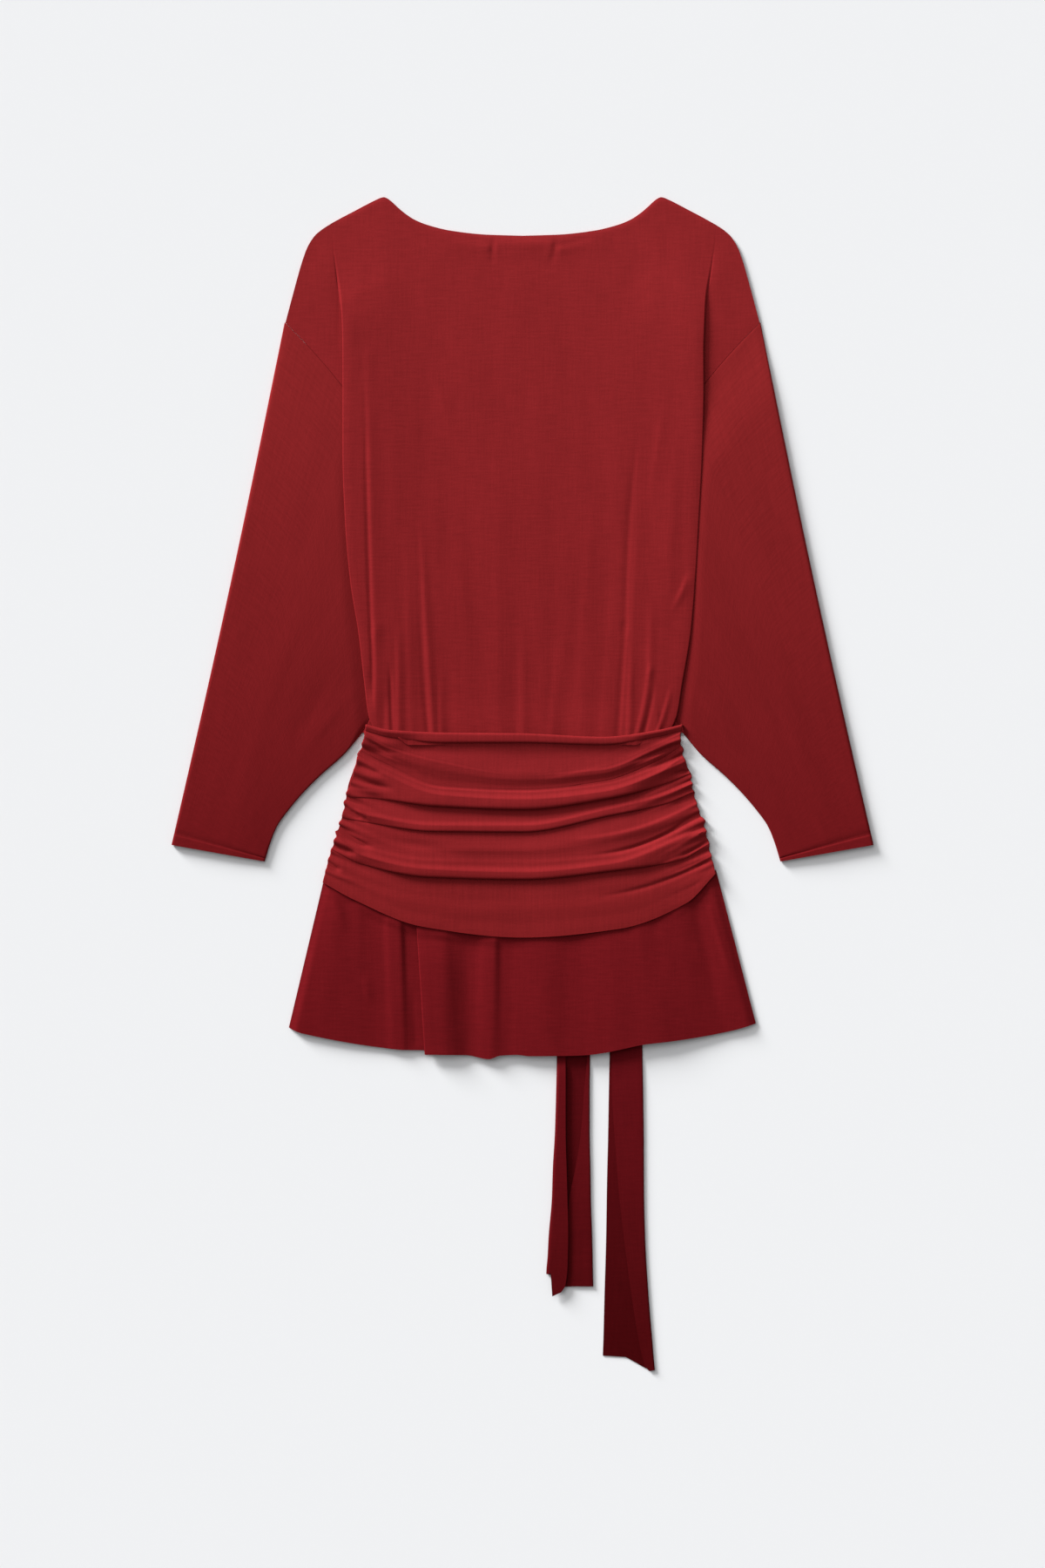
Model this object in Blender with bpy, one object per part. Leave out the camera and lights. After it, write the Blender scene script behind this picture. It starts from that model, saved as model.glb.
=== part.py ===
"""Long-sleeved mini dress lying flat on its front, back upwards.

Metres, +Z up, +Y towards the neck, origin in the middle of the outline on the surface it lies on.
Every size in the tables is in millimetres. "Left" and "right" are -X and +X.
"""

import math
from collections import namedtuple

import bmesh
import bpy

MM = 0.001

# The cloth and how its layers lie on each other.
WALL = 1.0
GAP = 0.3
LAYER = WALL + GAP
FRONT_LAYER = WALL / 2
BACK_LAYER = FRONT_LAYER + LAYER
SEAM_HALF_GAP = 0.3

# Height of the pieces along the dress.
SHOULDER_TIP_Y = 450.0
UNDERARM_Y = 50.0
BAND_FRONT_TOP_Y = 44.0

# The bodice laps over the front band's top edge, except near the side seams.
WAIST_LAP = 6.0
WAIST_LAP_FROM = 110.0
WAIST_LAP_FADE = 20.0
WAIST_CLIMB_ABOVE = 20.0
WAIST_CLIMB_LENGTH = 8.0
WAIST_CLIMB_FROM = 130.0
WAIST_CLIMB_FADE = 6.0

# The sleeves: their cuffs, and how far the folded tube stands open.
CUFF_OUTER = (342.0, -59.5)
CUFF_INNER = (252.0, -75.5)
SLEEVE_OUTER_SAG = 2.4
SLEEVE_ROWS = (0.0, 0.05, 0.15, 0.3, 0.46, 0.62, 0.78, 0.92, 1.0)
SLEEVE_OPENS_OVER = 0.15
SLEEVE_OUTER_RADIUS = 1.3
SLEEVE_INNER_RADIUS = 0.8
SLEEVE_LOFT = 1.1

# Half of the top edge: along the back neck to its corner, then down the shoulder seam.
EdgePoint = namedtuple("EdgePoint", "across y")
NECK = (
    EdgePoint(0.0, 534.7),
    EdgePoint(35.0, 535.8),
    EdgePoint(70.5, 539.8),
    EdgePoint(94.0, 545.7),
    EdgePoint(106.5, 551.0),
    EdgePoint(118.5, 559.5),
    EdgePoint(128.5, 568.6),
    EdgePoint(135.0, 573.6),
)
SHOULDER = (
    EdgePoint(135.0, 573.6),
    EdgePoint(163.0, 559.3),
    EdgePoint(190.5, 544.2),
    EdgePoint(202.0, 535.5),
    EdgePoint(209.5, 524.5),
    EdgePoint(214.5, 511.5),
    EdgePoint(223.5, 480.0),
    EdgePoint(231.5, 450.0),
)
UNDERARM = (
    EdgePoint(157.2, 49.6),
    EdgePoint(174.0, 29.5),
    EdgePoint(198.0, 8.0),
    EdgePoint(213.0, -7.0),
    EdgePoint(228.0, -24.5),
    EdgePoint(240.0, -41.5),
    EdgePoint(246.5, -57.5),
    EdgePoint(252.0, -75.5),
)

# Armhole seams, as distance from the centre line at each height.
SeamPoint = namedtuple("SeamPoint", "y across")
BACK_ARMHOLE = (
    SeamPoint(450.0, 231.5),
    SeamPoint(422.0, 204.5),
    SeamPoint(392.0, 179.0),
    SeamPoint(372.0, 164.0),
    SeamPoint(350.0, 152.0),
    SeamPoint(330.0, 145.0),
    SeamPoint(75.0, 144.0),
    SeamPoint(63.0, 149.5),
    SeamPoint(50.0, 156.5),
)
FRONT_ARMHOLE = (
    SeamPoint(450.0, 231.5),
    SeamPoint(422.0, 205.0),
    SeamPoint(392.0, 182.0),
    SeamPoint(355.0, 168.0),
    SeamPoint(300.0, 162.0),
    SeamPoint(200.0, 158.0),
    SeamPoint(100.0, 155.0),
    SeamPoint(50.0, 157.0),
)

# The lengthwise fold at each side of the back, where its fullness laps over the sleeve.
# turn is how far the cloth turns back, in degrees, and depth is how far it then runs under.
SideFold = namedtuple("SideFold", "y left right turn depth puff")
SIDE_FOLDS = (
    SideFold(550.0, 184.0, 187.0, 8.0, 1.5, 1.2),
    SideFold(523.0, 182.0, 185.0, 35.0, 1.5, 1.2),
    SideFold(500.0, 179.0, 182.5, 75.0, 1.5, 1.2),
    SideFold(480.0, 177.0, 179.5, 120.0, 2.0, 1.2),
    SideFold(455.0, 175.8, 177.5, 160.0, 5.0, 1.2),
    SideFold(428.0, 175.0, 176.3, 172.0, 10.0, 1.2),
    SideFold(393.0, 175.0, 176.5, 176.0, 15.0, 1.2),
    SideFold(323.0, 175.0, 175.0, 177.0, 18.0, 1.2),
    SideFold(255.0, 172.6, 171.5, 177.0, 17.0, 1.2),
    SideFold(197.0, 167.5, 168.0, 177.0, 14.0, 1.2),
    SideFold(150.0, 160.0, 164.0, 177.0, 11.0, 1.2),
    SideFold(95.0, 153.5, 155.0, 176.0, 8.0, 1.0),
    SideFold(68.0, 150.0, 150.5, 175.0, 5.5, 0.8),
    SideFold(50.0, 143.0, 143.0, 172.0, 4.0, 0.65),
)
INNER_TURN_RADIUS = 0.65
OPEN_TURN_EXTRA = 4.0
FOLD_BOTTOM_Y = 51.0
FOLD_TO_SEAM = 1.6

# The loose back between the folds: how high it stands, and how far from its edges it settles.
BACK_PUFF = 0.7
BACK_EDGE_FADE = 60.0
BACK_FOLD_FADE = 42.0

# Rows down the bodice and sleeve heads, as shares of the way from shoulder to waist.
BODICE_ROWS = (
    0.0, 0.05, 0.11, 0.17, 0.23, 0.3, 0.37, 0.44, 0.51,
    0.58, 0.65, 0.72, 0.79, 0.86, 0.92, 0.96, 0.98, 1.0,
)

# Columns across half of the back: where each starts on the top edge and ends at the waist.
Column = namedtuple("Column", "top waist")
BACK_COLUMNS = (
    Column(0.0, 0.0),
    Column(14.0, 17.0),
    Column(28.0, 33.0),
    Column(42.0, 49.0),
    Column(56.0, 64.0),
    Column(71.0, 77.0),
    Column(86.0, 87.0),
    Column(100.0, 95.0),
    Column(113.0, 103.0),
    Column(125.0, 111.0),
    Column(135.0, 118.0),
    Column(147.0, 124.0),
    Column(158.0, 129.0),
    Column(168.0, 134.0),
    Column(177.0, 138.0),
)
LOWER_COLUMNS_TOP = (231.5, 223.5, 214.5, 204.0, 194.0)
FRONT_COLUMNS_TOP = (0.0, 42.0, 71.0, 100.0, 118.5, 135.0, 163.0, 190.5, 204.0, 214.5, 223.5, 231.5)

# Soft folds that the waist gathers send up the back, from the waist to where each dies away.
Gather = namedtuple("Gather", "waist_x upper_x upper_y waist_rise upper_rise width")
GATHERS = (
    Gather(-146.0, -163.0, 420.0, 0.0, -1.2, 4.5),
    Gather(-140.0, -153.5, 400.0, 0.8, 1.9, 6.0),
    Gather(-127.0, -129.5, 120.0, -1.2, 0.0, 4.5),
    Gather(-120.0, -121.0, 130.0, 1.7, 0.3, 5.0),
    Gather(-108.0, -113.0, 235.0, 0.8, 0.6, 6.0),
    Gather(-88.0, -99.0, 260.0, 1.8, 0.6, 6.0),
    Gather(-77.0, -80.0, 105.0, 0.9, 0.1, 7.0),
    Gather(-40.0, -48.0, 200.0, 0.6, 0.4, 14.0),
    Gather(0.0, 0.0, 165.0, 0.9, 0.3, 10.0),
    Gather(27.0, 38.0, 145.0, 0.9, 0.2, 9.0),
    Gather(62.0, 74.0, 300.0, 0.7, 0.6, 13.0),
    Gather(95.0, 112.0, 345.0, -1.0, -0.5, 6.0),
    Gather(104.0, 110.0, 250.0, 1.6, 0.4, 6.0),
    Gather(113.0, 126.0, 175.0, 1.5, 0.6, 6.0),
    Gather(132.0, 147.0, 175.0, 1.6, 0.8, 6.0),
    Gather(138.0, 158.0, 400.0, 0.3, 1.1, 8.0),
)
GATHER_FADE = 45.0

# Outline of the waist band at its side seams.
BandSide = namedtuple("BandSide", "y left right")
BAND_SIDES = (
    BandSide(58.0, 152.6, 156.0),
    BandSide(46.0, 154.0, 153.8),
    BandSide(23.0, 161.5, 157.5),
    BandSide(12.0, 165.5, 163.0),
    BandSide(-1.0, 170.0, 165.0),
    BandSide(-22.0, 173.5, 170.5),
    BandSide(-42.0, 179.0, 177.5),
    BandSide(-58.0, 184.0, 181.0),
    BandSide(-72.0, 188.7, 184.0),
    BandSide(-88.0, 192.5, 188.0),
    BandSide(-97.0, 194.8, 188.0),
)

# The ruched folds of the band, top to bottom, one row for each crest and crease.
# at: its height along the dress at seven shares of the half width, from seam to seam;
# rise: how far it stands up at the left seam, halfway, the middle, halfway and the right seam.
BAND_SHARES = (-1.0, -0.85, -0.5, 0.0, 0.5, 0.85, 1.0)
RISE_SHARES = (-1.0, -0.5, 0.0, 0.5, 1.0)
BandFold = namedtuple("BandFold", "kind at rise")
BAND_FOLDS = (
    BandFold("edge", (57.8, 52.4, 49.7, 48.9, 45.6, 52.3, 57.8), (0.3, 0.3, 0.3, 0.3, 0.3)),
    BandFold("crest", (55.2, 49.2, 45.0, 45.0, 40.9, 49.0, 55.2), (1.8, 2.4, 2.4, 2.6, 1.8)),
    BandFold("crease", (52.0, 45.9, 40.0, 41.2, 36.1, 45.5, 52.0), (0.7, 0.8, 1.2, 0.6, 0.6)),
    BandFold("crest", (46.8, 37.8, 22.1, 14.2, 17.9, 38.3, 48.0), (3.8, 4.6, 3.2, 4.2, 3.8)),
    BandFold("crease", (32.3, 23.0, 1.7, -1.3, 7.7, 27.2, 40.0), (0.5, 1.0, 2.8, 2.4, 0.5)),
    BandFold("crest", (26.4, 16.2, -9.2, -14.9, -0.5, 15.0, 28.9), (4.0, 5.4, 6.6, 6.4, 4.4)),
    BandFold("crease", (-12.8, -17.4, -20.9, -23.9, -12.7, -4.3, 10.2), (0.4, 0.3, 0.1, 0.1, 0.3)),
    BandFold("crest", (-22.1, -25.9, -34.7, -35.1, -21.6, -8.4, 5.0), (5.0, 6.2, 7.0, 7.0, 5.0)),
    BandFold("crease", (-34.0, -38.3, -44.8, -47.2, -30.9, -19.9, -7.8), (0.5, 1.2, 1.8, 1.4, 0.5)),
    BandFold("crest", (-48.5, -68.0, -81.2, -82.5, -72.8, -50.3, -39.8), (4.4, 6.2, 6.8, 6.2, 5.0)),
    BandFold("crease", (-63.8, -78.6, -92.2, -95.2, -85.4, -72.3, -58.7), (0.4, 0.5, 0.3, 0.4, 0.4)),
    BandFold("crest", (-73.1, -85.0, -102.9, -108.8, -100.3, -81.6, -66.3), (3.0, 2.8, 2.8, 2.6, 3.6)),
    BandFold("crease", (-83.5, -96.1, -117.3, -125.8, -111.4, -90.4, -76.0), (1.0, 1.9, 2.0, 1.6, 0.8)),
    BandFold("edge", (-96.1, -112.2, -139.0, -149.6, -141.1, -116.0, -87.6), (0.6, 0.6, 0.6, 0.6, 0.6)),
)
ROWS_PER_BAND_FOLD = 3
SIDE_PUCKERS = (0.0, -1.0, 1.0)
SIDE_PUCKER = 1.8
SIDE_PUCKER_REACH = 24.0
SIDE_SCALLOP = 0.7
SIDE_SCALLOP_REACH = 7.0
BAND_COLUMNS = (
    -1.0, -0.985, -0.965, -0.93, -0.86, -0.77, -0.66, -0.53, -0.4, -0.26, -0.13, 0.0,
    0.13, 0.26, 0.4, 0.53, 0.66, 0.77, 0.86, 0.93, 0.965, 0.985, 1.0,
)
BAND_FRONT_COLUMNS = (-1.0, -0.86, -0.66, -0.4, -0.2, 0.0, 0.2, 0.4, 0.66, 0.86, 1.0)
BAND_FRONT_ROWS = 8
BAND_SIDE_TURN = 9.0

# How high the band's creases stand: over the bodice at its top and the flounce at its bottom.
BAND_LOFT = 5.2
BAND_LOFT_TOP = 1.0
BAND_TOP_FROM_Y = 30.0
BAND_TOP_FADE = 12.0
BAND_LOFT_CORNER = 1.6
BAND_CORNER_FROM = 100.0
BAND_CORNER_FADE = 25.0
BAND_LOFT_BOTTOM = 2.6
BAND_BOTTOM_HEIGHT = 40.0
BAND_BOTTOM_FADE = 22.0
BAND_CORNER_EDGE = 3.5
BAND_CORNER_TOP_Y = 44.0
BAND_CORNER_TOP_FADE = 5.0
BAND_CORNER_BOTTOM_HEIGHT = 11.0
BAND_CORNER_BOTTOM_FADE = 6.0

# Hem of the flounce, left to right.
HEM = (
    EdgePoint(-227.8, -237.5),
    EdgePoint(-218.0, -242.3),
    EdgePoint(-205.7, -245.2),
    EdgePoint(-173.4, -251.6),
    EdgePoint(-140.0, -256.7),
    EdgePoint(-114.8, -259.3),
    EdgePoint(-96.5, -259.6),
    EdgePoint(-93.0, -263.6),
    EdgePoint(-54.4, -264.4),
    EdgePoint(-33.0, -268.2),
    EdgePoint(-21.7, -264.8),
    EdgePoint(-5.0, -264.0),
    EdgePoint(6.8, -265.2),
    EdgePoint(47.6, -264.8),
    EdgePoint(64.6, -264.0),
    EdgePoint(80.8, -261.8),
    EdgePoint(96.9, -258.4),
    EdgePoint(116.5, -254.2),
    EdgePoint(145.4, -250.8),
    EdgePoint(178.5, -245.7),
    EdgePoint(210.8, -238.9),
    EdgePoint(227.5, -233.5),
)

# Waves of the flounce: across at the band and at the hem, and how high each stands there.
Wave = namedtuple("Wave", "band_x hem_x band_rise hem_rise")
WAVES_LEFT_OF_PLEAT = (
    Wave(-193.6, -227.8, 0.0, 0.0),
    Wave(-187.0, -219.0, 0.9, 0.7),
    Wave(-176.0, -190.0, 1.8, 0.7),
    Wave(-163.0, -166.0, 0.5, 0.4),
    Wave(-155.0, -145.0, 1.0, 1.1),
    Wave(-142.0, -133.0, 0.6, 0.6),
    Wave(-131.0, -122.5, 3.0, 2.4),
    Wave(-118.0, -113.5, 2.4, 2.0),
    Wave(-111.0, -104.0, 0.2, 0.2),
)
WAVES_RIGHT_OF_PLEAT = (
    Wave(-94.0, -86.0, 3.3, 2.9),
    Wave(-76.0, -79.0, 3.2, 1.7),
    Wave(-69.0, -68.0, 0.2, 0.9),
    Wave(-46.0, -50.0, 0.7, 1.2),
    Wave(-33.0, -36.0, 3.4, 3.4),
    Wave(-23.0, -26.0, 2.7, 2.5),
    Wave(-14.0, -15.0, 0.2, 0.7),
    Wave(6.0, 6.0, 2.5, 2.2),
    Wave(22.0, 30.0, 0.6, 1.0),
    Wave(51.0, 55.0, 1.7, 1.7),
    Wave(76.0, 84.0, 0.8, 1.0),
    Wave(98.0, 114.0, 1.6, 1.6),
    Wave(121.0, 144.0, 0.4, 0.7),
    Wave(137.0, 163.0, 1.8, 1.3),
    Wave(162.0, 190.0, 0.4, 0.6),
    Wave(179.0, 213.0, 1.5, 1.0),
    Wave(188.6, 227.5, 0.0, 0.0),
)
PLEAT_EDGE_BAND_X = -104.0
PLEAT_EDGE_HEM_X = -95.0
PLEAT_DEPTH = 7.0
PLEAT_TURN = 172.0
PLEAT_PUFF = 0.8
PLEAT_FADE = 30.0
WAVES_START = 0.35
WAVES_FULL_AT = 0.3
FLOUNCE_ROWS = (0.0, 0.09, 0.16, 0.27, 0.4, 0.55, 0.7, 0.85, 1.0)
FLOUNCE_MARGIN = 18.0
FRONT_MARGIN_REACH = 148.0
FRONT_SIDE_MARGIN = -1.4
BACK_MARGIN_REACH = 178.0
BACK_SIDE_MARGIN = 4.0
FLOUNCE_LOFT = 0.3
FLOUNCE_SIDE_TURN = 8.0
MARGIN_FADE = 30.0
FRONT_CLIMB_BELOW = 12.0
FRONT_CLIMB_LENGTH = 9.0
FRONT_CLIMB_REACH = 150.0
FRONT_CLIMB_FADE = 20.0

# The two ties, under the front flounce from the lower edge of the front band.
TIE_ROOM_LEFT = 28.0
TIE_ROOM_RIGHT = 135.0
TIE_ROOM_SLOPE = 12.0
TIE_ROOM_HEIGHT = 2.9
TiePoint = namedtuple("TiePoint", "y left right left_lobe right_lobe")
LEFT_TIE = (
    TiePoint(-150.0, 35.0, 65.0, 43.0, 58.0),
    TiePoint(-262.0, 34.0, 65.5, 42.0, 63.0),
    TiePoint(-300.0, 33.2, 65.0, 42.0, 60.0),
    TiePoint(-340.0, 32.0, 65.0, 42.0, 57.0),
    TiePoint(-375.0, 30.0, 65.8, 43.0, 51.5),
    TiePoint(-405.0, 29.0, 66.2, 43.8, 45.5),
    TiePoint(-440.0, 26.0, 67.4, 44.5, 42.0),
    TiePoint(-462.0, 24.8, 68.0, 44.0, 38.0),
    TiePoint(-473.0, 23.8, 68.4, 41.0, 35.0),
    TiePoint(-478.0, 23.6, 68.6, 29.0, 32.0),
)
LEFT_TIE_END = (-491.0, -490.0, -490.0, -490.0, -489.5, -484.0, -478.5, -477.5, -477.0, -477.0, -499.5)
RIGHT_TIE = (
    TiePoint(-150.0, 86.0, 116.5, 0.0, 90.0),
    TiePoint(-262.0, 85.0, 116.6, 0.0, 86.8),
    TiePoint(-300.0, 84.3, 117.2, 0.0, 87.2),
    TiePoint(-345.0, 83.5, 117.8, 0.0, 90.0),
    TiePoint(-392.0, 82.4, 118.0, 0.0, 93.5),
    TiePoint(-443.0, 81.6, 119.2, 0.0, 99.0),
    TiePoint(-500.0, 80.0, 122.6, 0.0, 106.5),
    TiePoint(-540.0, 79.0, 126.0, 0.0, 113.0),
    TiePoint(-560.0, 78.4, 128.8, 0.0, 119.5),
)
RIGHT_TIE_END = (-568.0, -572.5, -572.0, -571.5, -571.0, -559.0, -557.6)
LOBE_CLIMBS_FROM = 0.45
LOBE_CLIMBS_OVER = 0.25
RIGHT_TIE_MIDDLE = 0.45

# Looks of the jersey in each part of the dress, as linear red, green and blue.
BODICE_RED = (0.258, 0.016, 0.019)
BAND_RED = (0.275, 0.018, 0.020)
FLOUNCE_RED = (0.165, 0.008, 0.011)
TIE_RED = (0.120, 0.006, 0.009)
JERSEY_ROUGHNESS = 0.85


def ease(share):
    """0 to 1 with a level start and end."""
    share = min(max(share, 0.0), 1.0)
    return share * share * (3.0 - 2.0 * share)


def mix(first, second, share):
    return first + (second - first) * share


def curve_through(knots, values, at):
    """Height at one place of the smooth curve through these values."""
    if knots[0] > knots[-1]:
        knots = [-knot for knot in knots]
        at = -at
    at = min(max(at, knots[0]), knots[-1])
    last = len(knots) - 2
    span = next((i for i in range(last + 1) if at <= knots[i + 1]), last)
    low, high = knots[span], knots[span + 1]
    step = (values[span + 1] - values[span]) / (high - low)
    before = (values[span] - values[span - 1]) / (low - knots[span - 1]) if span else step
    after = step
    if span < last:
        after = (values[span + 2] - values[span + 1]) / (knots[span + 2] - high)
    start_slope = 0.0 if before * step <= 0.0 else 2.0 * before * step / (before + step)
    end_slope = 0.0 if after * step <= 0.0 else 2.0 * after * step / (after + step)
    t = (at - low) / (high - low)
    width = high - low
    return (
        (2 * t**3 - 3 * t**2 + 1) * values[span]
        + (t**3 - 2 * t**2 + t) * width * start_slope
        + (3 * t**2 - 2 * t**3) * values[span + 1]
        + (t**3 - t**2) * width * end_slope
    )


def column_of(table, key, column, at):
    """One named column of a table, read at a value of its key column."""
    knots = [getattr(row, key) for row in table]
    values = [getattr(row, column) for row in table]
    return curve_through(knots, values, at)


def top_edge_y(across):
    """Height of the neck and shoulder edge, at a distance from the centre line."""
    across = abs(across)
    table = NECK if across <= NECK[-1].across else SHOULDER
    return column_of(table, "across", "y", across)


def turn_radii(turn, puff):
    """Radii of the upper and lower bends of a fold: tight once it is closed, wide while it opens."""
    opened = OPEN_TURN_EXTRA * (1.0 - turn / 180.0) ** 3
    return puff + opened, INNER_TURN_RADIUS + opened


def fold_section(edge, low_z, turn, depth, puff, steps=3):
    """Section of a fold whose edge points to -X, as (x, z) from its lower layer to its upper one."""
    angle = math.radians(turn)
    upper, lower = turn_radii(turn, puff)
    edge_reach = lower * math.sin(angle) + depth * math.cos(angle)
    if turn > 90.0:
        edge_reach += upper * (math.sin(angle) - 1.0)
    start_x = edge - edge_reach
    points = []
    for step in range(steps + 1):
        part = angle * step / steps
        points.append((start_x + lower * math.sin(part), low_z + lower * (1.0 - math.cos(part))))
    foot_x, foot_z = points[-1]
    head_x = foot_x + depth * math.cos(angle)
    head_z = foot_z + depth * math.sin(angle)
    for step in range(steps + 1):
        part = angle * (1.0 - step / steps)
        x = head_x + upper * (math.sin(angle) - math.sin(part))
        z = head_z + upper * (math.cos(part) - math.cos(angle))
        points.append((x, z))
    return points


def side_fold(side, y):
    """(x, z) points of one side's fold at a height along the dress, outermost layer first."""
    edge = column_of(SIDE_FOLDS, "y", side, y)
    turn = column_of(SIDE_FOLDS, "y", "turn", y)
    depth = column_of(SIDE_FOLDS, "y", "depth", y)
    puff = column_of(SIDE_FOLDS, "y", "puff", y)
    sign = -1.0 if side == "left" else 1.0
    section = fold_section(-edge, BACK_LAYER, turn, depth, puff)
    return [(-sign * x, z) for x, z in section]


def back_armhole_x(side, y):
    """Distance of the back armhole seam from the centre line, outside the foot of the side fold."""
    seam = column_of(BACK_ARMHOLE, "y", "across", y)
    foot = abs(side_fold(side, y)[0][0])
    return max(seam, foot + FOLD_TO_SEAM)


def waist_rise(x, y):
    """How far the bodice climbs where it lies over the top edge of the front band."""
    climb = ease((BAND_FRONT_TOP_Y + WAIST_CLIMB_ABOVE - y) / WAIST_CLIMB_LENGTH)
    inside = 1.0 - ease((abs(x) - WAIST_CLIMB_FROM) / WAIST_CLIMB_FADE)
    return LAYER * climb * inside


def gather_rise(x, y):
    rise = 0.0
    for gather in GATHERS:
        share = max((y - UNDERARM_Y) / (gather.upper_y - UNDERARM_Y), 0.0)
        middle = mix(gather.waist_x, gather.upper_x, share)
        height = mix(gather.waist_rise, gather.upper_rise, min(share, 1.0))
        height *= 1.0 - ease((y - gather.upper_y) / GATHER_FADE)
        rise += height * math.exp(-(((x - middle) / gather.width) ** 2))
    return rise


def back_top_z(x, y, left_end, right_end):
    """Height of the back's upper layer between the ends of its two side folds."""
    edge_share = ease((top_edge_y(x) - y) / BACK_EDGE_FADE)
    ground = BACK_LAYER + waist_rise(x, y)
    z = max(ground + edge_share * (BACK_PUFF + gather_rise(x, y)), ground)
    for end_x, end_z in (left_end, right_end):
        away = min(abs(x - end_x) / BACK_FOLD_FADE, 1.0)
        z += (end_z - BACK_LAYER - BACK_PUFF * edge_share) * (1.0 - away) ** 2
    return z


def bodice_bottom_y(x):
    outside = ease((abs(x) - WAIST_LAP_FROM) / WAIST_LAP_FADE)
    return mix(BAND_FRONT_TOP_Y - WAIST_LAP, UNDERARM_Y, outside)


def clear_scene():
    for item in list(bpy.data.objects):
        bpy.data.objects.remove(item)


def jersey(name, colour):
    material = bpy.data.materials.new(name)
    material.use_nodes = True
    shader = material.node_tree.nodes["Principled BSDF"]
    shader.inputs["Base Color"].default_value = (*colour, 1.0)
    shader.inputs["Roughness"].default_value = JERSEY_ROUGHNESS
    shader.inputs["Metallic"].default_value = 0.0
    return material


def cloth(name, rows, colour, tube=False):
    """A wall of cloth around a grid of points on its middle, closed across its rows for a tube."""
    mesh = bmesh.new()
    grid = [[mesh.verts.new([MM * size for size in point]) for point in row] for row in rows]
    columns = len(grid[0])
    for upper, lower in zip(grid, grid[1:]):
        for i in range(columns if tube else columns - 1):
            j = (i + 1) % columns
            mesh.faces.new((upper[i], lower[i], lower[j], upper[j]))
    data = bpy.data.meshes.new(name)
    mesh.to_mesh(data)
    mesh.free()
    data.shade_smooth()
    piece = bpy.data.objects.new(name, data)
    bpy.context.scene.collection.objects.link(piece)
    piece.data.materials.append(jersey(name + "_jersey", colour))
    wall = piece.modifiers.new("wall", "SOLIDIFY")
    wall.thickness = WALL * MM
    wall.offset = 0.0
    wall.use_even_offset = False
    return piece


def fold_row(side, share):
    """One side's fold and the cloth under it, from the armhole seam inwards, at a row of the back."""
    sign = -1.0 if side == "left" else 1.0
    fold_top_y = top_edge_y(getattr(SIDE_FOLDS[0], side))
    fold_y = mix(fold_top_y, FOLD_BOTTOM_Y, share)
    section = side_fold(side, fold_y)
    seam_y = mix(SHOULDER_TIP_Y, UNDERARM_Y, share)
    seam_x = back_armhole_x(side, seam_y) - SEAM_HALF_GAP
    foot_top = abs(side_fold(side, fold_top_y)[0][0])
    points = []
    for top in LOWER_COLUMNS_TOP:
        part = (LOWER_COLUMNS_TOP[0] - top) / (LOWER_COLUMNS_TOP[0] - foot_top)
        x = mix(seam_x, abs(section[0][0]), part)
        y = mix(top_edge_y(top), mix(UNDERARM_Y, FOLD_BOTTOM_Y, part), share)
        points.append((sign * x, y, BACK_LAYER))
    return points + [(x, fold_y, z) for x, z in section]


def back_bodice():
    ends = {}
    for side in ("left", "right"):
        ends[side] = [abs(fold_row(side, share)[-1][0]) for share in (0.0, 1.0)]
    rows = []
    for share in BODICE_ROWS:
        folds = {side: fold_row(side, share) for side in ("left", "right")}
        fold_ends = [(row[-1][0], row[-1][2]) for row in folds.values()]
        middle = []
        for side, columns in (("left", BACK_COLUMNS[:0:-1]), ("right", BACK_COLUMNS)):
            top_end, waist_end = ends[side]
            for column in columns:
                part = mix(column.top / top_end, column.waist / waist_end, share)
                x = part * folds[side][-1][0]
                y = mix(top_edge_y(column.top), bodice_bottom_y(x), share)
                middle.append((x, y, back_top_z(x, y, *fold_ends)))
        rows.append(folds["left"] + middle + folds["right"][::-1])
    return cloth("bodice_back", rows, BODICE_RED)


def front_bodice():
    rows = []
    for share in BODICE_ROWS:
        row = []
        for sign in (-1.0, 1.0):
            half = []
            for top in FRONT_COLUMNS_TOP:
                seam_y = mix(SHOULDER_TIP_Y, UNDERARM_Y, share)
                seam_x = column_of(FRONT_ARMHOLE, "y", "across", seam_y) - SEAM_HALF_GAP
                x = top * seam_x / FRONT_COLUMNS_TOP[-1]
                y = mix(top_edge_y(top), bodice_bottom_y(x), share)
                half.append((sign * x, y, FRONT_LAYER + waist_rise(x, y)))
            row = half[:0:-1] if sign < 0.0 else row + half
        rows.append(row)
    return cloth("bodice_front", rows, BODICE_RED)


def sleeve_point(side, along, across, upper_layer):
    """Place on a sleeve in plan: along from armhole to cuff, across from outer fold to underarm."""

    def armhole(share):
        y = mix(SHOULDER_TIP_Y, UNDERARM_Y, share)
        if upper_layer:
            return (back_armhole_x(side, y) + SEAM_HALF_GAP, y)
        return (column_of(FRONT_ARMHOLE, "y", "across", y) + SEAM_HALF_GAP, y)

    def underarm(share):
        y = mix(UNDERARM[0].y, UNDERARM[-1].y, share)
        return (column_of(UNDERARM, "y", "across", y), y)

    def blend(first, second, share):
        return tuple(mix(a, b, share) for a, b in zip(first, second))

    outer = blend(armhole(0.0), CUFF_OUTER, along)
    outer = (outer[0] - SLEEVE_OUTER_SAG * math.sin(math.pi * along), outer[1])
    ends = blend(outer, underarm(along), across)
    sides = blend(armhole(across), blend(CUFF_OUTER, CUFF_INNER, across), along)
    corners = blend(
        blend(armhole(0.0), armhole(1.0), across), blend(CUFF_OUTER, CUFF_INNER, across), along
    )
    return tuple(a + b - c for a, b, c in zip(ends, sides, corners))


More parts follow.
